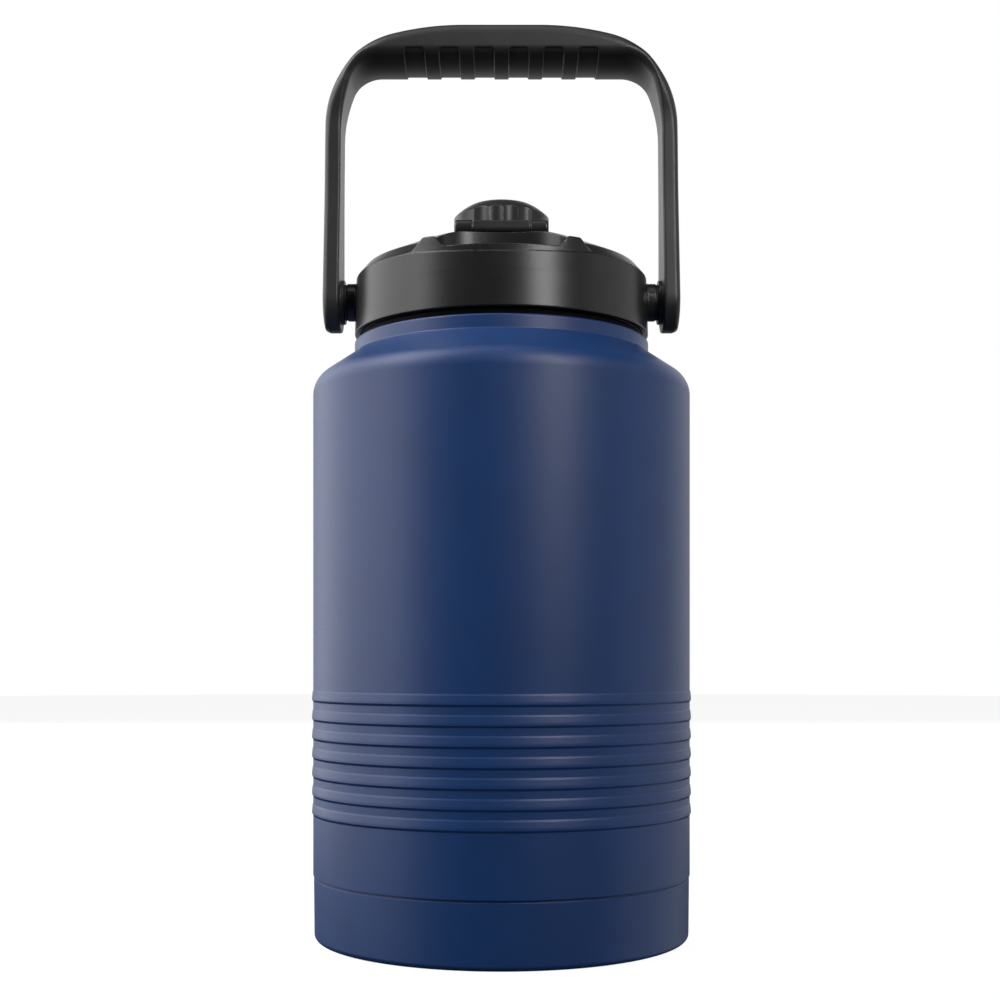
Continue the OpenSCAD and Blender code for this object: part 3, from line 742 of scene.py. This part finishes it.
MATERIALS = {
    "powder_coat": powder_coat(),
    "brushed_liner": turned_steel("brushed_liner", (0.6, 0.6, 0.61), 0.3, (1, 1, 60)),
    "getter_metal": turned_steel("getter_metal", (0.35, 0.35, 0.37), 0.5, (20, 20, 20)),
    "seal_bead": glassy_bead(),
    # The gasket's black silicone is set near black and almost without shine. This is partly its own black and
    # partly painted shade, so the gap between the lid and the neck reads as a black shadow.
    "black_silicone": silicone("black_silicone", (0.004, 0.004, 0.0043), 0.65, 0.06),
    "red_silicone": silicone("red_silicone", (0.4, 0.06, 0.03), 0.5),
    "clear_silicone": silicone("clear_silicone", (0.62, 0.62, 0.6), 0.45),
    "lid_plastic": moulded_plastic("lid_plastic", (0.012, 0.012, 0.0125), 0.31, 1900, 0.000001),
    "plug_plastic": moulded_plastic("plug_plastic", (0.02, 0.02, 0.021), 0.4, 1500, 0.000008),
    "handle_plastic": moulded_plastic("handle_plastic", (0.024, 0.0245, 0.025), 0.42, 2100, 0.000015),
    "cap_plastic": moulded_plastic("cap_plastic", (0.019, 0.0195, 0.0205), 0.4, 2000, 0.000003),
    "washer_nylon": silicone("washer_nylon", (0.02, 0.02, 0.021), 0.45),
    "lid_foam": foam(),
    "insert_brass": turned_steel("insert_brass", (0.62, 0.42, 0.13), 0.3, (60, 1, 1)),
    "fastener_steel": turned_steel("fastener_steel", (0.6, 0.6, 0.61), 0.28, (60, 1, 1)),
}


def finish_cad_nodes():
    """Gives each CAD node the material of its slot."""
    for part in frame["record"]["subparts"]:
        mesh = nodes[part["node"]].data
        mesh.materials.clear()
        mesh.materials.append(MATERIALS[part["material_slot"]])


# ---------------------------------------------------------------------------------------------
# Body


def cone_height(radius, centre_r, centre_z, round_r):
    """Height at a radius of the cone that leaves a rounded shoulder."""
    out, up = math.sin(SHOULDER_SLOPE), math.cos(SHOULDER_SLOPE)
    return centre_z + (round_r - (radius - centre_r) * out) / up


def rib(z):
    """A grip rib's corners from its lower edge up: steep below, fading gently above."""
    return [
        (BODY_R, z - RIB_REACH, 0.7),
        (BODY_R + RIB_HEIGHT, z - 1.6, 0.6),
        (BODY_R + RIB_HEIGHT, z - 0.6, 4),
        (BODY_R + RIB_HEIGHT / 2, z + 1.7, 1.2),
        (BODY_R, z + RIB_REACH, 0.8),
    ]


def make_wall():
    """The body's outer wall, from the seam to the neck's rim and back down inside."""
    centre_r = BODY_R - SHOULDER_R
    neck_foot = cone_height(NECK_R, centre_r, WALL_TOP_Z, SHOULDER_R)
    corner = SHOULDER_R * math.tan((math.pi / 2 - SHOULDER_SLOPE) / 2)
    inner_foot = cone_height(NECK_R - SHEET, centre_r, WALL_TOP_Z, SHOULDER_R - SHEET)
    corners = [(BODY_R, SHELL_LOW.z, 0.25)]
    for i in range(RIB_COUNT):
        corners += rib(RIB_LOWEST_Z + i * RIB_PITCH)
    corners += [
        (BODY_R, WALL_TOP_Z + corner, SHOULDER_R),
        (NECK_R, neck_foot, 0.8),
        (NECK_R, SHELL_HIGH.z, 1.0),
        (MOUTH_R + SHEET, SHELL_HIGH.z, 0.2),
        (MOUTH_R + SHEET, SHELL_HIGH.z - SHEET, 0.1),
        (NECK_R - SHEET, SHELL_HIGH.z - SHEET, 0.3),
        (NECK_R - SHEET, inner_foot, 0.8),
        (BODY_R - SHEET, WALL_TOP_Z + corner - 0.4, SHOULDER_R),
        (BODY_R - SHEET, SHELL_LOW.z, 0.2),
    ]
    mesh = lathe("jug_wall", rounded(corners, 5))
    add_piece("jug_wall", mesh, "jug", "outer_shell", "powder_coat")


def make_base():
    """The base cup below the seam, with its foot ring, recessed underside and dimple."""
    inner_ring_r = FOOT_RING_R + 0.3
    corners = [
        (0, RECESS_RISE + DIMPLE_RISE),
        (DIMPLE_R, RECESS_RISE + DIMPLE_RISE, 0.3),
        (DIMPLE_R, RECESS_RISE, 0.6),
        (FOOT_RING_R - RECESS_RISE, RECESS_RISE, 2),
        (FOOT_RING_R, 0, 2),
        (CUP_R - CUP_TAPER, 0, 2.3),
        (CUP_R, SHELL_LOW.z - SEAM_GAP, 0.25),
        (LIP_R, SHELL_LOW.z - SEAM_GAP, 0.1),
        (LIP_R, CUP_TOP_Z, 0.2),
        (LIP_R - SHEET, CUP_TOP_Z, 0.2),
        (LIP_R - SHEET, SHEET, 1.5),
        (inner_ring_r, SHEET, 1.5),
        (inner_ring_r - RECESS_RISE, RECESS_RISE + SHEET, 1.5),
        (DIMPLE_R + SHEET, RECESS_RISE + SHEET, 0.3),
        (DIMPLE_R + SHEET, RECESS_RISE + DIMPLE_RISE + SHEET, 0.3),
        (0, RECESS_RISE + DIMPLE_RISE + SHEET),
    ]
    mesh = lathe("jug_base", rounded(corners, 6))
    add_piece("jug_base", mesh, "jug", "base_cup", "powder_coat")


def make_liner():
    """The steel inner vessel, with the mouth's three-start thread in its neck."""
    centre_r = LINER_R - SHOULDER_R
    corner = math.tan((math.pi / 2 - SHOULDER_SLOPE) / 2)
    corners = [(0, LINER_FLOOR_Z), (LINER_R, LINER_FLOOR_Z, 10)]
    for inset in (0, SHEET):
        neck, round_r = MOUTH_R + SHEET - inset, SHOULDER_R - inset
        side = [
            (LINER_R - inset, LINER_TOP_Z + round_r * corner, round_r),
            (neck, cone_height(neck, centre_r, LINER_TOP_Z, round_r), 1),
            (neck, SHELL_HIGH.z, 0.25),
        ]
        corners += side if inset == 0 else side[::-1]
    corners += [(LINER_R - SHEET, LINER_FLOOR_Z + SHEET, 10 - SHEET), (0, LINER_FLOOR_Z + SHEET)]
    threads = [
        thread(MOUTH_R, -THREAD_HEIGHT, THREAD_LEAD, THREAD_TURN, THREAD_Z, i * 360 / THREAD_STARTS)
        for i in range(THREAD_STARTS)
    ]
    mesh = lathe("liner_vessel", rounded(corners, 5), threads=threads)
    add_piece("liner_vessel", mesh, "jug", "inner_liner", "brushed_liner")


def make_gasket():
    """The silicone ring in the gap over the neck's rim, with two sealing lips."""
    low, high = GASKET_LOW.z, GASKET_HIGH.z
    inner, outer = MOUTH_R - 1.6, GASKET_HIGH.x
    corners = [
        (inner, low + 0.8, 0.3),
        (MOUTH_R + 0.4, low, 0.4),
        (MOUTH_R + 1.4, low, 0.3),
        (MOUTH_R + 1.7, low + 0.5, 0.2),
        (MOUTH_R + 2.3, low, 0.3),
        (outer - 0.3, low + 0.4, 0.3),
        (outer, high - 0.5, 0.4),
        (outer - 0.5, high, 0.3),
        (inner, high, 0.3),
    ]
    mesh = lathe("neck_gasket", rounded(corners, 12))
    add_piece("neck_gasket", mesh, "gasket", "lid_gasket", "black_silicone")


# ---------------------------------------------------------------------------------------------
# Lid


def dome_outline():
    """The lid's outer outline, carried past the axis so that the axis is no edge."""
    top = arc(DOME_ROUND_X, DOME_TOP_Z - DOME_ROUND, DOME_ROUND, 90 - DOME_SLOPE, 90, 1.5)
    edge = rounded(
        [
            (PAST_AXIS, LID_LOW.z),
            (SKIRT_R, LID_LOW.z, 0.5),
            (SKIRT_TOP_R, SKIRT_TOP_Z, 0.7),
            (BAND_TOP_X, BAND_TOP_Z, 1.5),
            (CONE_FOOT_X, CONE_FOOT_Z, 3),
            top[0],
            (PAST_AXIS, CONE_CLOSE_Z),
        ],
        3,
    )
    return edge[: edge.index(top[0]) + 1] + top[1:] + [(PAST_AXIS, DOME_TOP_Z)]


def hollow_outline():
    """The lid's hollow, likewise carried past the axis."""
    return rounded(
        [
            (PAST_AXIS, LID_LOW.z - 5),
            (HOLLOW_MOUTH_R, LID_LOW.z - 5),
            (HOLLOW_MOUTH_R, HOLLOW_MOUTH_Z, 0.2),
            (HOLLOW_R, HOLLOW_MOUTH_Z, 0.2),
            (HOLLOW_R, SKIRT_TOP_Z - 2.4, 1),
            (*HOLLOW_SHOULDER, 2),
            (CEILING_EDGE_X, CEILING_Z - 0.6, 4),
            (CEILING_X, CEILING_Z, 4),
            (PAST_AXIS, CEILING_Z),
        ],
        6,
    )


def block_side_outline():
    """The front block from the front, on the +X side: sloping flanks up to a flat top."""
    return rounded(
        [
            (-5, BLOCK_LOW_Z),
            (BLOCK_FOOT_X + 4, BLOCK_LOW_Z),
            (BLOCK_FOOT_X, SKIRT_TOP_Z - 0.4),
            (BLOCK_TOP_X, BLOCK_TOP_Z, 1.2),
            (-5, BLOCK_TOP_Z),
        ],
        4,
    )


def make_lid():
    """The lid's casing: skirt, dome, the block with the cap's pocket, trunnions and hinge ears."""
    dome = outline_field(dome_outline())
    hollow = outline_field(hollow_outline())
    block_side = outline_field(block_side_outline())
    draft = (SKIRT_R - SKIRT_TOP_R) / (SKIRT_TOP_Z - LID_LOW.z)

    def with_block(solid, x, y, z, skirt):
        """Adds the front block, set in from the skirt by a step that sags towards the middle."""
        wide = np.abs(x)
        behind = y - BLOCK_BACK_Y
        block = clip(block_side(wide, z), skirt + BLOCK_STEP, 0.6)
        solid = join(solid, np.maximum(block, behind), 0.5)
        sag = SKIRT_TOP_Z - BLOCK_SAG * (1 - (x / BLOCK_FOOT_X) ** 2)
        face = np.maximum(clip(sag - z, -skirt - BLOCK_STEP, 0.25), z - SKIRT_TOP_Z - 0.5)
        return cut(solid, np.maximum(np.maximum(face, wide - BLOCK_FOOT_X), behind), 0.25)

    def with_pocket(solid, x, y, z):
        """Cuts the cap's pocket: a side that widens upwards and a nearly flat back wall."""
        rise = np.clip((z - POCKET_Z) / POCKET_SLOPE_H, 0, 1)
        side = np.hypot(x, y - POCKET_Y) - POCKET_FOOT_R - (POCKET_R - POCKET_FOOT_R) * rise
        back = np.hypot(x, y + POCKET_BACK + POCKET_BACK_R) - POCKET_BACK_R
        pocket = clip(clip(side, back, POCKET_BACK_BLEND), POCKET_Z - z, 0.8)
        return cut(solid, pocket, 0.35)

    def with_hinge(solid, x, y, z):
        """Adds the hinge's ears and cuts the notch that the knuckle turns in."""
        wide = np.abs(x)
        ear = np.hypot(y - HINGE_Y - EAR_BACK, z - HINGE_Z) - EAR_R
        ear = clip(clip(ear, wide - EAR_OUT_X, 1.1), EAR_IN_X - wide, 0.3)
        solid = join(solid, np.maximum(ear, EAR_FOOT_Z - z), 0.3)
        reach = np.abs(y - HINGE_Y - NOTCH_FORWARD) - KNUCKLE_HALF - NOTCH_GAP
        notch = clip(wide - EAR_IN_X, reach, 0.3)
        return cut(solid, clip(notch, HINGE_Z - NOTCH_DROP - z, 0.3), 0.2)

    def field(x, y, z):
        r = np.hypot(x, y)
        wide = np.abs(x)
        skirt = r - (SKIRT_TOP_R - draft * (z - SKIRT_TOP_Z))
        solid = with_block(dome(r, z), x, y, z, skirt)
        off_pivot = np.hypot(y, z - PIVOT_Z)
        trunnion = clip(off_pivot - TRUNNION_R, wide - LID_HIGH.x, 0.4)
        solid = join(solid, np.maximum(trunnion, TRUNNION_ROOT_X - wide), 0.6)
        solid = with_pocket(solid, x, y, z)
        recess = clip(r - RECESS_R, RECESS_Z - z, 0.5)
        solid = cut(solid, recess, 0.4)
        solid = with_hinge(solid, x, y, z)
        solid = cut(solid, r - SPOUT_HOLE_R, 0.3)
        pocket_r = np.hypot(x, y - POCKET_Y) - POCKET_R - POCKET_WALL
        pocket_wall = np.maximum(pocket_r, POCKET_Z - POCKET_FLOOR - z)
        pivot_core = np.maximum(off_pivot - TRUNNION_R + TRUNNION_WALL, TRUNNION_CORE_X - wide)
        inside = np.maximum(hollow(r, z), -np.minimum(pocket_wall, pivot_core))
        solid = cut(solid, inside, 0.2)
        solid = cut(solid, np.maximum(off_pivot - INSERT_HOLE_R, INSERT_HOLE_X - wide), 0.2)
        pin = np.hypot(y - HINGE_Y, z - HINGE_Z) - PIN_R - PIN_GAP
        return cut(solid, np.maximum(pin, wide - EAR_OUT_X - 1), 0.1)

    mesh = carve("lid_casing", field, LID_LOW, LID_HIGH, step=0.45, faces=150000)
    add_piece("lid_casing", mesh, "lid", "lid_shell", "lid_plastic")


def make_plug():
    """The lid's threaded lower half, which screws into the neck."""
    low, high, hole_r = PLUG_LOW.z, PLUG_HIGH.z, SPOUT_R + 0.1
    corners = [
        (hole_r, low, 0.3),
        (PLUG_R, low, 1.5),
        (PLUG_R, PLUG_FLANGE_Z, 0.4),
        (PLUG_HIGH.x, PLUG_FLANGE_Z, 0.4),
        (PLUG_HIGH.x, high, 0.4),
        (PLUG_R - PLUG_WALL, high, 0.3),
        (PLUG_R - PLUG_WALL, low + PLUG_FLOOR, 0.8),
        (hole_r, low + PLUG_FLOOR, 0.2),
    ]
    start_z = THREAD_Z - PLUG_THREAD_DROP
    threads = [
        thread(PLUG_R, THREAD_HEIGHT, THREAD_LEAD, THREAD_TURN, start_z, i * 360 / THREAD_STARTS)
        for i in range(THREAD_STARTS)
    ]
    mesh = lathe("threaded_plug", rounded(corners, 9), threads=threads)
    add_piece("threaded_plug", mesh, "lid", "lid_plug", "plug_plastic")


def make_spout():
    """The pouring tube through the lid, with its collar, thread and rounded lip."""
    corners = [
        (SPOUT_BORE_R, SPOUT_LOW.z, 0.3),
        (SPOUT_R, SPOUT_LOW.z, 0.3),
        (SPOUT_R, SPOUT_COLLAR_LOW, 0.4),
        (SPOUT_COLLAR_R, SPOUT_COLLAR_LOW, 0.3),
        (SPOUT_COLLAR_R, SPOUT_COLLAR_HIGH, 0.2),
        (SPOUT_R, SPOUT_COLLAR_HIGH, 0.2),
        (SPOUT_R, SPOUT_HIGH.z, 1),
        (SPOUT_BORE_R, SPOUT_HIGH.z, 0.9),
    ]
    height = SPOUT_HIGH.x - SPOUT_R
    threads = [thread(SPOUT_R, height, SPOUT_LEAD, SPOUT_THREAD_TURN, SPOUT_THREAD_Z)]
    mesh = lathe("spout_tube", rounded(corners, 9), segments=192, threads=threads)
    add_piece("spout_tube", mesh, "lid", "spout", "lid_plastic")


# ---------------------------------------------------------------------------------------------
# Handle


def handle_outer_outline():
    """The handle's outer edge on the +X side, closed far past the middle."""
    corner_r, crown_r, crown_turn = 37, 120, 14
    turn = math.radians(90 - crown_turn)
    crown_z = GRIP_TOP_Z - crown_r
    crown_x = ARM_TOP_X - corner_r - (crown_r - corner_r) * math.cos(turn)
    corner_z = crown_z + (crown_r - corner_r) * math.sin(turn)
    return (
        [(PAST_MIDDLE, PIVOT_Z - FOOT_R), (FOOT_X - 1.6, PIVOT_Z - FOOT_R)]
        + [(FOOT_X, PIVOT_Z - FOOT_R + 1.6), (FOOT_X, PIVOT_Z)]
        + arc(ARM_TOP_X - corner_r, corner_z, corner_r, 0, 90 - crown_turn, 1.5)
        + arc(crown_x, crown_z, crown_r, 90 - crown_turn + 0.7, 90, 0.7)
        + [(PAST_MIDDLE, GRIP_TOP_Z)]
    )


def handle_inner_outline():
    """The opening inside the handle on the +X side, closed far past the middle and below."""
    corner_x, corner_r, sweep_r, sweep = 50.4, 12.5, 64, 20
    corner_z = GRIP_Z - corner_r
    sweep_x = corner_x - (sweep_r - corner_r) * math.cos(math.radians(sweep))
    sweep_z = corner_z - (sweep_r - corner_r) * math.sin(math.radians(sweep))
    below = PIVOT_Z - 60
    return (
        [(PAST_MIDDLE, GRIP_Z)]
        + arc(corner_x, corner_z, corner_r, 90, sweep, 2)
        + arc(sweep_x, sweep_z, sweep_r, sweep - 1, 0, 1)
        + [(FOOT_INNER_X, PIVOT_Z), (FOOT_INNER_X, below), (PAST_MIDDLE, below)]
    )


def handle_side_outline():
    """The handle from the side, on the +Y half: round foot, tapering arm and a deeper grip."""
    reach = math.hypot(ARM_HALF, FOOT_TAPER)
    touch = math.atan2(FOOT_TAPER, ARM_HALF) - math.acos(FOOT_R / reach)
    return (
        arc(0, PIVOT_Z, FOOT_R, -90, math.degrees(touch), 2)[:-1]
        + rounded(
            [
                (FOOT_R * math.cos(touch), PIVOT_Z + FOOT_R * math.sin(touch)),
                (ARM_HALF, PIVOT_Z + FOOT_TAPER, 200),
                (ARM_HALF, ARM_END_Z, 30),
                (GRIP_HALF - 3, GRIP_Z - 6, 12),
                (GRIP_HALF, GRIP_Z + 1.2, 8),
                (GRIP_HALF, GRIP_TOP_Z + 5),
                (-20, GRIP_TOP_Z + 5),
                (-20, PIVOT_Z - FOOT_R),
            ],
            2,
        )
    )


def blend_up(value, low, high):
    """A smooth step from 0 at low to 1 at high."""
    t = np.clip((value - low) / (high - low), 0, 1)
    return t * t * (3 - 2 * t)


def make_handle():
    """The bail: rounded arms, a deep grip with finger grooves, and bosses at the pivots."""
    outer = outline_field(handle_outer_outline())
    inner = outline_field(handle_inner_outline())
    side = outline_field(handle_side_outline())

    def bail(x, y, z):
        """The bare bail, its edges rounder round the grip and its grip fuller underneath."""
        wide, deep = np.abs(x), np.abs(y)
        grip = blend_up(z, GRIP_FROM_Z, GRIP_FULL_Z)
        rear = blend_up(y, -4, 4)
        solid = clip(outer(wide, z), side(deep, z), BAIL_EDGE_R + (GRIP_EDGE_R - BAIL_EDGE_R) * grip)
        belly = grip * (GRIP_RISE * (y / GRIP_HALF) ** 2 - GRIP_BELLY)
        edge_r = INNER_EDGE_R + grip * (UNDER_GRIP_ROUND + REAR_GRIP_ROUND * rear)
        return clip(solid, -inner(wide, z - belly), edge_r)

    def field(x, y, z):
        wide = np.abs(x)
        off_pivot = np.hypot(y, z - PIVOT_Z)
        boss = clip(off_pivot - BOSS_R, BOSS_X - wide, 0.4)
        solid = join(bail(x, y, z), np.maximum(boss, wide - FOOT_X + BOSS_BACK), 0.4)
        for i in range(GROOVE_COUNT):
            off = np.abs(x - (i - (GROOVE_COUNT - 1) / 2) * GROOVE_PITCH) - GROOVE_HALF
            zone = clip(off, z - GRIP_Z - GROOVE_RISE, 1.4)
            solid = cut(solid, clip(zone, -(solid + GROOVE_DEPTH), 0.15), 0.2)
        shank = off_pivot - SHANK_HOLE_R
        head = np.maximum(off_pivot - HEAD_HOLE_R, HEAD_HOLE_X - wide)
        plug = np.maximum(off_pivot - PIVOT_CAP_R - PIVOT_CAP_GAP, FOOT_X - PIVOT_CAP_T - wide)
        holes = np.maximum(np.minimum(np.minimum(shank, head), plug), HOLES_FROM_X - wide)
        return cut(solid, holes, 0.15)

    mesh = carve("bail_handle", field, HANDLE_LOW, HANDLE_HIGH, step=0.45, faces=150000)
    add_piece("bail_handle", mesh, "handle", "handle", "handle_plastic")


def make_pivot_plugs():
    """The plugs over the pivot screws, set flush into the handle's feet."""
    disc = rounded(
        [(0, 0), (PIVOT_CAP_R, 0, 0.2), (PIVOT_CAP_R, PIVOT_CAP_T, 0.35), (0, PIVOT_CAP_T)], 12
    )
    for side, name in ((-1, "left"), (1, "right")):
        mesh = lathe("pivot_plug_" + name, disc, segments=128)
        outwards = mathutils.Matrix.Rotation(side * math.pi / 2, 4, "Y")
        seat = (side * (FOOT_X - PIVOT_CAP_T) * MM, 0, PIVOT_Z * MM)
        mesh.transform(mathutils.Matrix.Translation(seat) @ outwards)
        add_piece("pivot_plug_" + name, mesh, "handle", "pivot_cap_" + name, "handle_plastic")


# ---------------------------------------------------------------------------------------------
# Cap


def make_tether():
    """The ring under the cap and the knuckle that turns on the hinge pin."""

    def field(x, y, z):
        r = np.hypot(x, y)
        wide = np.abs(x)
        flat = np.abs(z - TETHER_MIDDLE_Z) - TETHER_HALF
        ring = clip(r - TETHER_R, flat, 0.3)
        bridge = np.maximum(wide - KNUCKLE_X, np.abs(y - BRIDGE_Y) - BRIDGE_HALF)
        bridge = clip(bridge, flat, 0.3)
        off_pin = np.hypot(y - HINGE_Y, z - HINGE_Z)
        square = clip(np.abs(y - HINGE_Y) - KNUCKLE_HALF, z - HINGE_Z - KNUCKLE_TOP, 0.5)
        knuckle = np.minimum(off_pin - KNUCKLE_HALF, np.maximum(square, HINGE_Z - z))
        knuckle = clip(knuckle, wide - KNUCKLE_X, 0.4)
        solid = join(join(ring, bridge, 0.2), knuckle, 0.4)
        solid = cut(solid, r - TETHER_HOLE_R, 0.3)
        return cut(solid, off_pin - PIN_R - PIN_BORE_GAP, 0.1)

    low = (TETHER_LOW.x, TETHER_LOW.y, TETHER_LOW.z - 1)
    mesh = carve("tether_ring", field, low, TETHER_HIGH, step=0.25, faces=50000)
    add_piece("tether_ring", mesh, "tether", "cap_tether", "cap_plastic")


def cap_outline():
    """The screw cap's outline: a flange under the tether's ring, a plain side and a domed shoulder."""
    start = math.radians(CAP_DOME_FROM)
    middle = (CAP_R - CAP_DOME_R * math.cos(start), CAP_EDGE_Z - CAP_DOME_R * math.sin(start))
    shoulder = arc(*middle, CAP_DOME_R, CAP_DOME_FROM, CAP_DOME_TO, 3)
    return rounded(
        [
            (PAST_AXIS, CAP_LOW.z),
            (CAP_FLANGE_R, CAP_LOW.z, 0.3),
            (CAP_FLANGE_R, CAP_FLANGE_Z, 0.2),
            (CAP_NECK_R, CAP_FLANGE_Z, 0.2),
            (CAP_NECK_R, CAP_SKIRT_Z, 0.2),
            (CAP_R, CAP_SKIRT_Z, 0.4),
            (CAP_R, CAP_EDGE_Z, 0.5),
            *shoulder[1:-1],
            (*shoulder[-1], 0.8),
            (0, CAP_HIGH.z),
            (PAST_AXIS, CAP_HIGH.z),
        ],
        6,
    )


def cap_hollow():
    """The cap's hollow: its thread's bore and the seat of its seal."""
    return rounded(
        [
            (PAST_AXIS, CAP_LOW.z - 5),
            (CAP_MOUTH_R, CAP_LOW.z - 5),
            (CAP_MOUTH_R, CAP_MOUTH_Z, 0.2),
            (CAP_BORE_R, CAP_MOUTH_Z, 0.2),
            (CAP_BORE_R, CAP_BORE_Z, 0.2),
            (CAP_SEAL_R, CAP_BORE_Z, 0.2),
            (CAP_SEAL_R, CAP_CEILING_Z, 0.2),
            (PAST_AXIS, CAP_CEILING_Z),
        ],
        12,
    )


def make_cap():
    """The screw cap, with two groups of hollow flutes that run out into its domed shoulder."""
    body = outline_field(cap_outline())
    hollow = outline_field(cap_hollow())
    group_angle = 360 / FLUTE_GROUPS
    last = (GROUP_FLUTES - 1) / 2

    def flutes(r, around, z):
        """The hollows of the flutes, each group centred in front or behind."""
        turn = np.mod(around + 90 - FLUTE_TURN + group_angle / 2, group_angle) - group_angle / 2
        turn -= FLUTE_ANGLE * np.clip(np.round(turn / FLUTE_ANGLE + last) - last, -last, last)
        turn = np.radians(turn)
        middle_r = CAP_R - FLUTE_DEPTH + FLUTE_R
        flute = np.hypot(r * np.cos(turn) - middle_r, r * np.sin(turn)) - FLUTE_R
        return clip(flute, CAP_SKIRT_Z + 0.8 - z, 0.3)

    def ridge(r, angle, z):
        """The thread's ridge at an angle counted on from its start."""
        off = np.abs(z - CAP_THREAD_Z - SPOUT_LEAD * angle / 360) - CAP_RIDGE_HALF
        section = clip(off - CAP_RIDGE_FLANK * (r - CAP_RIDGE_R), CAP_RIDGE_R - r, 0.25)
        past_end = np.radians(angle - CAP_THREAD_TURN) * CAP_RIDGE_MIDDLE_R
        return clip(np.maximum(section, r - CAP_RIDGE_ROOT_R), past_end, 0.3)

    def field(x, y, z):
        r = np.hypot(x, y)
        around = np.mod(np.degrees(np.arctan2(y, x)), 360)
        solid = cut(cut(body(r, z), flutes(r, around, z), 0.15), hollow(r, z), 0.2)
        for angle in (around, around + 360):
            solid = join(solid, ridge(r, angle, z), 0.15)
        return solid

    mesh = carve("screw_cap", field, CAP_LOW, CAP_HIGH, step=0.26, faces=100000)
    add_piece("screw_cap", mesh, "cap", "spout_cap", "cap_plastic")


# ---------------------------------------------------------------------------------------------
# Studio


# Softboxes: name, azimuth in degrees, distance and height, width and height of its face, watts and
# how far it is tilted down in degrees
LIGHTS = (
    ("backdrop_low", 180, 2.0, 0.25, (4.4, 0.9), 8, 0),
    ("backdrop_high", 180, 2.0, 1.3, (4.4, 1.2), 18, 0),
    ("left_softbox", -97, 1.25, 0.68, (2.2, 1.54), 23, 0),
    ("left_edge", -60, 1.2, 0.6, (0.5, 1.3), 1.6, 0),
    ("left_top", -75, 0.8, 1.2, (0.7, 0.7), 9, 50),
    ("right_strip", 32, 1.0, 0.8, (0.32, 0.95), 8.5, 20),
    ("right_fill", 103, 1.4, 0.25, (2.0, 2.1), 7, 0),
    ("overhead", 0, 0.25, 1.5, (0.6, 0.6), 1.3, 85),
)


def area_light(name, azimuth, distance, height, size, energy, tilt):
    """A softbox at an azimuth round the jug, 0 in front and positive to the right, facing its axis."""
    data = bpy.data.lights.new(name, "AREA")
    data.shape = "RECTANGLE"
    data.size, data.size_y = size
    data.energy = energy
    lamp = bpy.data.objects.new(name, data)
    turn = math.radians(azimuth)
    lamp.location = (distance * math.sin(turn), -distance * math.cos(turn), height)
    lamp.rotation_euler = (math.radians(90 - tilt), 0, turn)
    lamp.visible_camera = False
    bpy.context.scene.collection.objects.link(lamp)


def make_world(ambient):
    """White for the camera and a dimmer, even white for everything else."""
    world = bpy.data.worlds.new("studio")
    world.use_nodes = True
    tree = world.node_tree
    tree.nodes.clear()
    output = tree.nodes.new("ShaderNodeOutputWorld")
    path = tree.nodes.new("ShaderNodeLightPath")
    mix = tree.nodes.new("ShaderNodeMixShader")
    for socket, strength in ((1, ambient), (2, 1.0)):
        light = tree.nodes.new("ShaderNodeBackground")
        light.inputs["Color"].default_value = (1, 1, 1, 1)
        light.inputs["Strength"].default_value = strength
        tree.links.new(light.outputs[0], mix.inputs[socket])
    tree.links.new(path.outputs["Is Camera Ray"], mix.inputs[0])
    tree.links.new(mix.outputs[0], output.inputs["Surface"])
    bpy.context.scene.world = world


def make_floor():
    """A pale round floor that the jug stands on."""
    sides, radius = 96, 4.0
    angle = np.linspace(0, 2 * math.pi, sides, endpoint=False)
    mesh = bpy.data.meshes.new("floor")
    rim = [(radius * math.cos(a), radius * math.sin(a), 0) for a in angle]
    mesh.from_pydata(rim, [], [tuple(range(sides))])
    material, tree, shader = start_material("floor")
    mottle(tree, shader, noise(tree, 3), (0.1, 0.1, 0.1), 1.0, 1.2)
    shader.inputs["Roughness"].default_value = 0.9
    shader.inputs["Emission Color"].default_value = (1, 1, 1, 1)
    shader.inputs["Emission Strength"].default_value = 0.92
    mesh.materials.append(material)
    floor = bpy.data.objects.new("floor", mesh)
    bpy.context.scene.collection.objects.link(floor)
    floor.visible_diffuse = False
    floor.visible_glossy = False
    floor.visible_shadow = False
    floor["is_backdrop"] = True


def make_studio():
    """The floor, the even surroundings and the softboxes."""
    bpy.context.scene.view_settings.view_transform = "Standard"
    make_world(0.03)
    make_floor()
    for light in LIGHTS:
        area_light(*light)


# ---------------------------------------------------------------------------------------------

finish_cad_nodes()
make_wall()
make_base()
make_liner()
make_gasket()
make_lid()
make_plug()
make_spout()
make_handle()
make_pivot_plugs()
make_tether()
make_cap()
make_studio()

boxes = {"cad": cad_box, "visual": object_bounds()}
{name: [list(corner) for corner in box] for name, box in boxes.items()}
